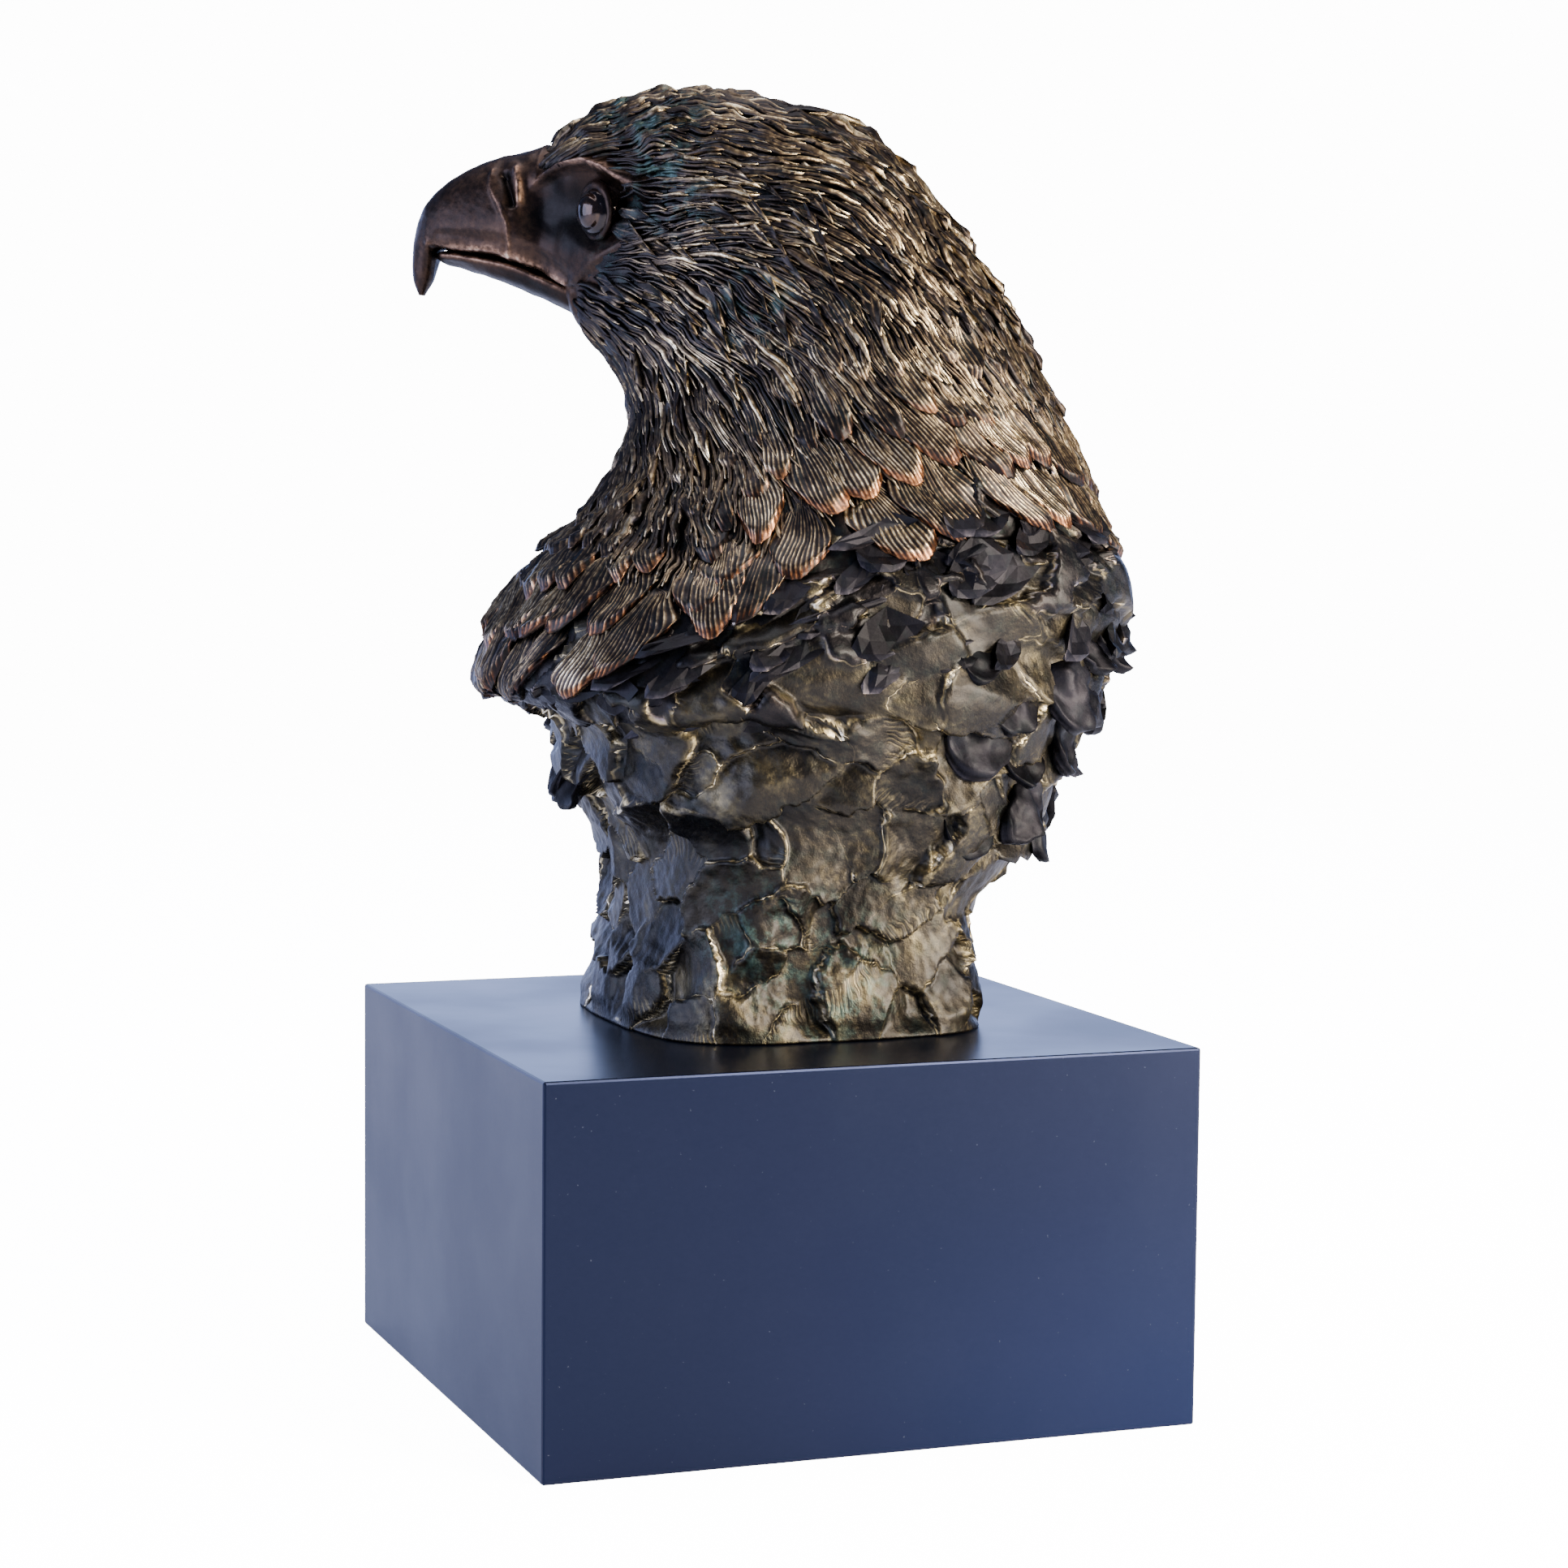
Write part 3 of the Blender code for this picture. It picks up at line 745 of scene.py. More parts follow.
# %% [markdown]
# Feathers
#
# Below the head the modeller pressed each feather as a tongue of clay and combed it with a
# fine tool. The tongues are slim and pointed on the nape, with a drop at the tip, and they
# grow to broad fans at the hem. One function draws them all. A feather is a grid: every
# second column is a combed ridge, and the rows run from root to tip. Its sides sink below
# its neighbours, its tip rolls over like a thick lip, and hands have rubbed the lip bright.

# %% Rows of feathers
BROADEST = 12.0
SLIMMEST = 4.6
SLIMMER_EACH = 0.125
ROW_STEP = 7.0
ROW_STEP_SHARE = 0.55
CLEAR_OF_FACE = 22.0


def feather_width(above):
    """Width of the feathers whose tips lie so many millimetres above the hem."""
    return max(BROADEST - SLIMMER_EACH * above, SLIMMEST)


def feather_rows(first, last, seed, kept=1.0):
    """Places of the feathers in some rows, counted up from the hem: the rows get closer."""
    chance = np.random.default_rng(seed)
    ring_end = length_at(hem(RING), RING)
    above = 0.0
    places = []
    for row in range(last):
        width = feather_width(above)
        step = ROW_STEP + ROW_STEP_SHARE * width
        if row >= first:
            around = brick_row(ring_end - above, width, row, 0.20, chance)
            same = [np.full(around.shape, value) for value in (above, step, width)]
            places.append(np.stack([around, *same]))
        above = above + step
    around, above, step, width = np.concatenate(places, axis=1)
    tip = length_at(hem(around), around) - above + step * chance.uniform(-0.24, 0.24, above.shape)
    kept = chance.uniform(size=above.shape) < kept
    kept = kept & (tip > length_at(np.full(around.shape, FIRST_ROW), around) + CLEAR_OF_FACE)
    return around[kept], tip[kept], step[kept], width[kept], above[kept], chance


def build_feathers(name, rows, ridges, steps, style):
    """Shells of combed tongues.

    Width: W/2 (narrow + (1 - narrow) S(v / widest)), a little less again at the tip.
    Length of column u: L (1 - depth |u + skew|^round + fray). Height: lift (v^1.6 - 1)
    - camber W |u|^2.2 + ridges + drop at the tip - the roll of the lip.
    """
    around, tip, spacing, width, above, chance = rows
    count = len(around)
    long_ = np.maximum(spacing * style["overlap"], width * style["least"]) * chance.uniform(0.85, 1.2, count)
    wide = (width * style["width"] * chance.uniform(0.8, 1.25, count))[:, None, None]
    start = np.maximum(tip - long_, 0.0)
    long_ = np.maximum(tip - start, 2.0)
    flow_at = slice_points(NECK_SLICES, place_at(tip[:, None], around)[:, 0], around)
    stray = chance.normal(0.0, style["stray"], count)
    lean = (style["lean"](around) + style["flow"] * ripple(flow_at, 34.0, 51) + stray)[:, None, None]
    phase = (2.5 * ripple(flow_at, 28.0, 52) + chance.normal(0.0, 0.7, count))[:, None, None]
    lift = (style["lift"] * chance.uniform(0.7, 1.35, count))[:, None, None]
    level = style["level"] + chance.normal(0.0, style["shake"], (count, 1, 1))
    v = (1.0 - (1.0 - np.linspace(0.0, 1.0, steps + 1)[1:]) ** 1.5)[None, :, None]
    u = np.linspace(-1.0, 1.0, 2 * ridges + 1)[None, None, :]
    is_ridge = (np.arange(2 * ridges + 1) % 2 == 1).astype(float)
    each = (count, 1, 2 * ridges + 1)
    fray = (chance.normal(0.0, 1.0, each) * is_ridge - 0.9 * (1.0 - is_ridge)) * style["fray"]
    skew = style["skew"] * chest_side(around)[:, None, None]
    down = v * long_[:, None, None] * (1.0 - style["depth"] * np.abs(u + skew) ** style["round"] + fray)
    open_ = style["narrow"] + (1.0 - style["narrow"]) * smoothstep(v / style["widest"])
    close = 1.0 - style["close"] * smoothstep((v - 0.72) / 0.28) ** 1.5
    half = 0.5 * wide * open_ * close
    swing = np.sin(phase + v * style["sways"] * WHOLE_TURN) - np.sin(phase)
    sway = style["wave"] * np.sqrt(wide) * swing * v
    wobble = style["wobble"] * np.sin(phase * 2.0 + v * 11.0 + u * 2.6) * (1.0 - u ** 2)
    across = sway + down * np.tan(lean) + u * half + wobble
    ridge_size = chance.uniform(0.5, 1.35, each)
    pulse = 0.7 + 0.3 * np.sin(chance.uniform(0.0, 6.3, each) + v * chance.uniform(4.0, 11.0, each))
    lip = smoothstep((v - style["lip_from"]) / (1.0 - style["lip_from"]))
    comb = style["comb"] * ridge_size * is_ridge * pulse * (1.0 - style["smooth_lip"] * lip)
    rise = level + lift * (v ** 1.6 - 1.0)
    sag = style["camber"] * wide * (0.55 + 0.45 * v)
    drop = style["drop"] * bump(v - 0.9, 0.10) * (1.0 - u ** 2)
    roll = style["thick"] * 0.6 * smoothstep((v - 0.88) / 0.12)
    top = rise - sag * np.abs(u) ** 2.2 + comb + drop - roll
    under_u = np.array([0.66, 0.0, -0.66])[None, None, :]
    cut_under = 0.985 - style["depth"] * np.abs(under_u + skew) ** style["round"] - style["fray"]
    down_under = v * long_[:, None, None] * cut_under
    across_under = sway + down_under * np.tan(lean) + under_u * half
    under = rise - sag * np.abs(under_u) ** 2.2 - style["thick"]
    ends_down = np.stack([np.zeros(count), long_ * (1.0 - style["fray"])], axis=1)
    ends_across = np.stack([across[:, 0, ridges], across[:, -1, ridges]], axis=1)
    ends_high = np.stack([rise[:, 0, 0] - 0.6, rise[:, -1, 0] - 0.8 * style["thick"]], axis=1)
    sides = ((down, down_under, ends_down), (across, across_under, ends_across), (top, under, ends_high))
    drawn = [np.concatenate([np.concatenate(pair, axis=-1).reshape(count, -1), ends], axis=1)
             for *pair, ends in sides]
    points = lay_on_neck(around, start, *drawn, rough=style["rough"])
    bright = chance.uniform(0.0, 1.0, (count, 1, 1)) ** 1.4
    stripes = style["stripe"] * is_ridge * ridge_size * pulse * (0.75 + 0.35 * v) * (1.0 - 0.8 * lip)
    rub_top = stripes + style["polish"] * lip * (0.35 + 0.65 * bright)
    rub_top = rub_top + style["worn"] + style["edge"] * smoothstep((np.abs(u) * v - 0.74) / 0.2)
    rub_top = np.clip(rub_top, 0.0, 1.0) * (0.7 + 0.3 * bright)
    rim = np.clip(lip + smoothstep((np.abs(u) * v - 0.70) / 0.25), 0.0, 1.0) * style["copper"]
    rub = pad_under(rub_top, 0.6 * bright[:, 0])
    rim = np.clip(rim + 0.35 * style["copper"] * smoothstep((v - 0.6) / 0.4), 0.0, 1.0)
    copper = pad_under(rim * smoothstep((62.0 - above) / 50.0)[:, None, None], 0.0 * bright[:, 0])
    tone = np.repeat(chance.uniform(0.0, 1.0, (count, 1)), rub.shape[1], axis=1)
    keep = style["keep"](flow_at)
    faces = shell_faces(int(keep.sum()), steps, 2 * ridges + 4)
    return add_piece(name, to_world(points[keep].reshape(-1, 3)), faces, smooth=style["smooth"],
                     rub=rub[keep], tone=tone[keep], copper=copper[keep])


def pad_under(upper, at_tip):
    """Numbers of the upper side, then zeros for the underside, the root and a value for the tip."""
    count, steps, _ = upper.shape
    full = np.concatenate([upper, np.zeros((count, steps, 3))], axis=-1).reshape(count, -1)
    return np.concatenate([full, np.zeros((count, 1)), at_tip], axis=1)


def straight(around):
    """No lean."""
    return 0.0 * around


def chest_side(around):
    """1 on the left and -1 on the right beside the chest, fading to 0 in front and behind."""
    away = from_chest(around)
    reach = np.abs(away)
    return np.sign(away) * smoothstep(reach / 0.5) * smoothstep((1.7 - reach) / 0.9)


def towards_chest(around):
    """Lean of the lowest feathers: strong beside the chest, none in front and behind."""
    return -chest_side(around) * math.radians(24.0)


def everywhere(points):
    """Keep every feather."""
    return np.ones(len(points), bool)


def off_the_skin(points):
    """Keep the feathers that end behind the eye."""
    return (bare_share(points) < 0.5) & (points[:, 0] < 24.0)


# %% Kinds of feathers
# lengths are in millimetres and angles in radians, and the rest are shares
NAPE = dict(
    overlap=1.7, least=2.4, width=0.95, lean=straight, flow=0.16, stray=0.10, lift=2.2, level=1.15,
    shake=0.3, fray=0.03, depth=0.55, round=1.5, narrow=0.45, widest=0.6, close=0.5, wave=0.32,
    sways=0.9, wobble=0.14, comb=0.55, lip_from=0.84, smooth_lip=0.7, camber=0.20, drop=0.9,
    thick=1.2, rough=0.25, polish=1.1, edge=0.0, copper=0.0, stripe=1.0, worn=0.0, skew=0.0,
    smooth=True, keep=off_the_skin)
FAN = dict(
    NAPE, overlap=1.75, least=1.6, width=1.30, flow=0.10, stray=0.08, lift=2.0, level=0.4,
    shake=0.35, depth=0.36, round=2.2, narrow=0.42, widest=0.8, close=0.10, skew=0.2, wave=0.18,
    wobble=0.2, comb=0.62, fray=0.01, lip_from=0.86, smooth_lip=0.9, camber=0.14, drop=0.35,
    thick=1.7, polish=0.62, edge=0.08, copper=1.0, stripe=1.75, keep=everywhere)
HEM = dict(
    FAN, overlap=1.8, width=1.40, lean=towards_chest, lift=2.6, level=1.0, thick=1.9, camber=0.12,
    narrow=0.36, widest=0.85, depth=0.34, round=2.0, comb=0.7, skew=0.3, stripe=2.4)

scattered_feathers = build_feathers("scattered_feathers", feather_rows(9, 13, 26, 0.25), 3, 9, NAPE)
nape_feathers = build_feathers("nape_feathers", feather_rows(4, 9, 22, 0.75), 4, 10, NAPE)
neck_feathers = build_feathers("neck_feathers", feather_rows(2, 5, 23), 10, 12, FAN)
hem_feathers = build_feathers("hem_feathers", feather_rows(0, 2, 24), 14, 14, HEM)

# %% [markdown]
# The clay column
#
# Below the hem nobody combed the clay. It was pressed on in pellets and scraped with a wide
# tool, and each scrape left a shallow dish with a torn, thin lip. One surface carries all of
# it: seeded points are scattered over the column, each point of the surface belongs to the
# nearest of them, and where two meet a lip stands up. Each dish has its own depth, tilt and
# sometimes the washboard marks of the tool's edge.

# %% Dishes of scraped clay
DISH_ROWS = 11
DISHES_IN_ROW = 24
COLLAR_ROWS = 4
COLLAR_IN_ROW = 30
COLLAR_DEEP = 24.0
GIRTH = 49.0
STEP_SOFTNESS = 0.16
LIP_WIDTH = 0.34
LIP_HEIGHT = 0.85


def scatter_dishes(in_row, rows, chance):
    """Places of dishes as shares across and up: a loose brick pattern, shaken by chance."""
    number, row = np.meshgrid(np.arange(in_row), np.arange(rows), indexing="ij")
    across = (number + 0.5 * (row % 2) + chance.uniform(-0.45, 0.45, row.shape)) / in_row
    up = (row + 0.5 + chance.uniform(-0.48, 0.48, row.shape)) / rows
    return across.ravel(), up.ravel()


def dished(across, up, high, under_hem, seed):
    """Height of scraped clay on the unrolled column, and the numbers that its finish reads.

    Each dish i has its own stretched distance d_i. Weights exp(-d_i / softness) let the
    tilted planes of the dishes meet in small steps. Where a step is high, its upper side has
    a lip exp(-((d_2 - d_1) / width)^2), d_1 and d_2 being the two nearest.
    """
    chance = np.random.default_rng(seed)
    whole = WHOLE_TURN * GIRTH
    wide_x, wide_y = scatter_dishes(DISHES_IN_ROW, DISH_ROWS, chance)
    slab_x, slab_y = scatter_dishes(COLLAR_IN_ROW, COLLAR_ROWS, chance)
    below = np.interp(slab_x * whole, across[0], under_hem, period=whole)
    middle_x = np.concatenate([wide_x, slab_x]) * whole
    middle_y = np.concatenate([wide_y * high, below - slab_y * COLLAR_DEEP])
    slab = np.concatenate([0.0 * wide_x, 1.0 + 0.0 * slab_x])
    count = len(middle_x)
    side = -np.sign(np.mod(middle_x + whole / 2.0, whole) - whole / 2.0)
    turn = chance.normal(0.25, 0.6, count) * (1.0 - slab) + slab * side * chance.normal(-0.75, 0.22, count)
    stretch = chance.uniform(0.9, 1.8, count) + slab * 0.9
    size = chance.uniform(0.7, 1.4, count) * (1.0 - 0.25 * slab)
    flat = np.stack([across.ravel(), up.ravel()], axis=-1)
    warp = np.stack([ripple(flat, 26.0, seed + 1), ripple(flat, 26.0, seed + 2)], axis=-1) * 1.6
    fine = np.stack([ripple(flat, 4.0, seed + 3), ripple(flat, 4.0, seed + 4)], axis=-1) * 0.34
    bent = flat + warp + fine
    off_x = np.mod(bent[:, :1] - middle_x + whole / 2.0, whole) - whole / 2.0
    off_y = bent[:, 1:] - middle_y
    along = off_x * np.cos(turn) + off_y * np.sin(turn)
    beside = -off_x * np.sin(turn) + off_y * np.cos(turn)
    away = np.hypot(along / stretch, beside * np.sqrt(stretch)) / size
    order = np.argpartition(away, 1, axis=1)[:, :2]
    two = np.sort(np.take_along_axis(away, order, axis=1), axis=1)
    nearest = two[:, 0]
    gap = two[:, 1] - nearest
    weight = np.exp(-(away - nearest[:, None]) / STEP_SOFTNESS)
    weight = weight / weight.sum(axis=1, keepdims=True)
    base = chance.normal(0.0, 1.15, count)
    tilt_down = chance.normal(0.17, 0.20, count)
    tilt_across = chance.normal(0.0, 0.22, count) + slab * side * 0.18
    hollow = chance.uniform(-0.3, 0.9, count) * (1.0 - slab)
    plane = base - tilt_down * off_y + tilt_across * off_x + hollow * ((away / 6.5) ** 2 - 0.6)
    plane = np.clip(plane, -2.8, 2.4)
    height = (weight * plane).sum(axis=1)
    each = np.arange(len(nearest))
    own = away.argmin(axis=1)
    other = order.sum(axis=1) - own
    signed_gap = np.where(own < other, gap, -gap)
    step_up = plane[each, own] - plane[each, other]
    lip_size = chance.uniform(0.25, 1.2, count)[own] * smoothstep(np.abs(step_up) / 1.4)
    ragged = np.clip(0.8 + 0.35 * ripple(flat, 2.6, seed + 5), 0.1, 1.5)
    lip = bump(gap, LIP_WIDTH) * lip_size * ragged * smoothstep(0.5 + step_up)
    ribbed = (chance.uniform(0.0, 1.0, count) < 0.32)[own]
    rib_turn = (turn + chance.normal(0.0, 0.35, count))[own]
    rib_at = off_x[each, own] * np.cos(rib_turn) + off_y[each, own] * np.sin(rib_turn)
    rib_at = rib_at + 0.10 * ripple(flat, 9.0, seed + 6)
    rib_side = beside[each, own] * np.where(chance.uniform(size=count) < 0.5, 1.0, -1.0)[own]
    rib_here = ribbed * smoothstep((rib_side - 0.5) / 2.0) * smoothstep(gap / 0.6)
    height = height + LIP_HEIGHT * lip + 0.05 * ripple(flat, 3.2, seed + 7)
    # Painted light at each step between dishes: the upper side is made brighter, partly wear on the raised
    # lip and partly a painted highlight, and the lower side darker as painted shade.
    rub = 0.25 * bump(gap, 0.9) * ragged * smoothstep(step_up) - 0.2 * bump(gap, 0.9) * smoothstep(-step_up)
    line = np.clip(ragged, 0.0, 1.0) * (0.1 + 0.9 * lip_size)
    rub = rub + 0.05 + 0.07 * ripple(flat, 12.0, seed + 8) + 0.04 * ripple(flat, 1.6, seed + 9)
    tone = chance.uniform(0.0, 1.0, count)[own]
    numbers = dict(rub=np.clip(rub, 0.0, 1.0), tone=tone, line=line, gap=gap, signed_gap=signed_gap,
                   rib_at=rib_at, ribbed=rib_here * (1.0 - 0.7 * slab[own]), slate=slab[own])
    return height.reshape(up.shape), {key: values.reshape(up.shape) for key, values in numbers.items()}


# %% The column
LOBES_STAND_OUT = 5.0


def build_column():
    """The column from under the hem to the foot, with its dishes laid on the plain slices."""
    around = all_round(520)[None, :]
    share = np.linspace(0.0, 1.0, 165)[:, None]
    start = hem(around) - 0.9
    place = start + (FOOT - start) * share
    plain = slice_points(NECK_SLICES, place, around)
    normal = slice_normals(NECK_SLICES, place, around)
    step = np.linalg.norm(np.diff(plain, axis=0), axis=-1)
    down = np.pad(np.cumsum(step, axis=0), ((1, 0), (0, 0)))
    up = down[-1:] - down
    under_hem = up[0] - 3.0
    height, numbers = dished(around * GIRTH + 0.0 * up, up, float(up.max()), under_hem, 31)
    calm = smoothstep(up / 5.0)
    flare = 0.9 * bump(up, 2.2)
    tuck = 3.0 * smoothstep((hem(around) + 0.6 - place) / 1.0)
    behind = smoothstep((np.abs(around) - math.radians(95.0)) / math.radians(35.0))
    waist = smoothstep((place - 7.2) / 0.5) * smoothstep((11.8 - place) / 1.0)
    height = height * (0.12 + 0.88 * calm) + flare - tuck - LOBES_STAND_OUT * behind * waist
    normal = normal * np.stack([np.ones_like(up), calm, np.ones_like(up)], axis=-1)
    return add_shell("clay_column", plain + normal * height[..., None], **numbers)


column = build_column()

# %% [markdown]
# Shards and torn lobes
#
# A collar of small flat chips sits under the hem, slanting towards the chest, and thick lobes
# overhang the column at the shoulder, down the back and below the chest. They are the same
# kind of shell as a feather, only short, thick and not combed, so the same function makes
# them from other numbers and other places.

# %% Shards and lobes
def bands(rows, seed, spread, shake):
    """Places in bands: slice numbers below the hem or from the face, count, angles, width, length."""
    chance = np.random.default_rng(seed)
    parts = []
    for under_hem, at, count, low, high, width, length in rows:
        around = np.radians(np.linspace(low, high, count)) + chance.normal(0.0, shake, count)
        place = hem(around) + at if under_hem else np.full(count, at)
        tip = length_at(place, around) + chance.normal(0.0, spread, count)
        width = width * chance.uniform(0.7, 1.25, count)
        parts.append(np.stack([around, tip, np.full(count, length), width, np.ones(count)]))
    return (*np.concatenate(parts, axis=1), chance)


SHARD_ROWS = (
    (True, 0.10, 38, -180.0, 171.0, 9.5, 9.0),
    (True, 0.50, 34, -176.0, 174.0, 10.0, 9.5),
    (True, 0.95, 26, 36.0, 324.0, 10.5, 10.0),
    (True, 1.50, 17, 56.0, 304.0, 11.0, 10.0),
)
LOBE_ROWS = (
    (False, 7.8, 12, 100.0, 260.0, 15.0, 13.0),
    (False, 8.7, 11, 106.0, 254.0, 15.0, 13.0),
    (False, 9.6, 10, 112.0, 248.0, 15.0, 13.0),
    (False, 11.0, 9, 116.0, 244.0, 15.0, 17.0),
)
FRONT_LOBE_ROWS = (
    (False, 10.3, 5, -50.0, 6.0, 14.0, 13.0),
    (False, 9.3, 3, -70.0, -40.0, 12.0, 10.0),
)


def slanting(around):
    """Lean of the shards: their lower ends point towards the chest on both sides."""
    return -np.sign(from_chest(around)) * math.radians(48.0)


SHARD = dict(
    NAPE, overlap=1.0, least=1.0, lean=slanting, flow=0.20, stray=0.24, lift=3.2, level=1.5,
    shake=0.5, fray=0.0, depth=0.14, round=4.0, narrow=0.85, widest=0.3, close=0.25, wave=0.0,
    wobble=0.5, comb=0.0, lip_from=0.90, camber=0.03, drop=0.3, thick=1.8, rough=0.8, polish=0.40,
    edge=0.22, smooth=False, stripe=0.0, worn=0.05, keep=everywhere)
LOBE = dict(
    SHARD, width=1.1, lean=straight, stray=0.30, lift=6.5, level=2.3, shake=1.0, depth=0.42,
    round=2.4, narrow=0.9, close=0.0, camber=0.24, drop=0.9, thick=4.4, smooth=True, polish=0.26,
    edge=0.0)
FRONT_LOBE = dict(LOBE, lift=9.0, level=6.5)
shards = build_feathers("clay_shards", bands(SHARD_ROWS, 41, 1.5, 0.07), 2, 4, SHARD)
lobes = build_feathers("clay_lobes", bands(LOBE_ROWS, 42, 2.0, 0.11), 6, 13, LOBE)
front_lobes = build_feathers("front_lobes", bands(FRONT_LOBE_ROWS, 43, 1.0, 0.05), 6, 13, FRONT_LOBE)

# %% [markdown]
# Patinated bronze
#
# The metal is cast bronze with a hot-applied brown patina: a thin dark oxide over copper and
# tin, sealed with wax. Where hands and cloth reach, the oxide wears off and the bare metal
# shows copper and pale gold, so the colour is driven by how far each point stands out. In a
# few sheltered places the patina has turned to blue-green verdigris, which is dull and matt.
# The same number also carries painted shade round the eye, on the lower bill and below the
# clay's steps, and a painted highlight above those steps.

# %% Helpers for shader nodes
def linear(code):
    """An sRGB hex colour as linear RGBA: c / 12.92 for dark values, a 2.4 power for others."""
    parts = [int(code[k:k + 2], 16) / 255.0 for k in (1, 3, 5)]
    return (*(c / 12.92 if c <= 0.04045 else ((c + 0.055) / 1.055) ** 2.4 for c in parts), 1.0)


def set_inputs(tree, node, inputs):
    """Inputs of a node, by name or in order: outputs of other nodes are linked, values are set."""
    for key, value in inputs.items() if isinstance(inputs, dict) else enumerate(inputs):
        if isinstance(value, bpy.types.NodeSocket):
            tree.links.new(value, node.inputs[key])
        else:
            node.inputs[key].default_value = value


def add_node(tree, kind, inputs=(), output=0, **settings):
    """One output of a new shader node, whose settings are its properties."""
    node = tree.nodes.new("ShaderNode" + kind)
    for key, value in settings.items():
        setattr(node, key, value)
    set_inputs(tree, node, inputs)
    return node.outputs[output]


def set_stops(ramp, stops):
    """Colours of a ramp: (place, hex) pairs."""
    while len(ramp.elements) < len(stops):
        ramp.elements.new(1.0)
    for element, (place, code) in zip(ramp.elements, stops):
        element.position = place
        element.color = linear(code)


def new_material(name):
    """An empty material with its Principled shader, its tree and its object coordinates."""
    material = bpy.data.materials.new(name)
    material.use_nodes = True
    tree = material.node_tree
    shader = next(node for node in tree.nodes if node.type == "BSDF_PRINCIPLED")
    where = add_node(tree, "TexCoord", output="Object")
    return material, tree, shader, where


def per_metre(millimetres):
    """Scale of a noise whose features are about so many millimetres across."""
    return 1000.0 / (2.0 * millimetres)


# settings that many nodes share
TIMES = dict(operation="MULTIPLY")
TIMES_PLUS = dict(operation="MULTIPLY_ADD")
SMOOTH = dict(interpolation_type="SMOOTHSTEP")
COLOUR = dict(data_type="RGBA")
TINT = dict(data_type="RGBA", blend_type="MULTIPLY")

# %% Bronze
VERDIGRIS_DARK = "#2f4d49"
VERDIGRIS_PALE = "#6d9f94"
COPPER_TINT = "#d8a48a"
SLATE_TINT = "#a5a2c4"
RIB_PITCH = 1.3
LIP_LINE = 0.42


def scrapes(add):
    """Thin torn lips where two dishes meet, and the tool's washboard marks."""
    line, gap, signed, at, ribbed = (add("Attribute", output="Fac", attribute_name=key)
                                     for key in ("line", "gap", "signed_gap", "rib_at", "ribbed"))
    away = add("Math", (signed,), operation="ABSOLUTE")
    near = add("MapRange", (away, 0.08, LIP_LINE, 1.0, 0.0), **SMOOTH)
    inner = add("MapRange", (gap, 0.9, 1.6, 1.0, 0.0), **SMOOTH)
    lip = add("Math", (near, add("Math", (line, inner), **TIMES)), **TIMES)
    wave = add("Math", (add("Math", (at, WHOLE_TURN / RIB_PITCH), **TIMES),), operation="SINE")
    ribs = add("Math", (add("MapRange", (wave, -0.6, 1.0), **SMOOTH), ribbed), **TIMES)
    return lip, ribs


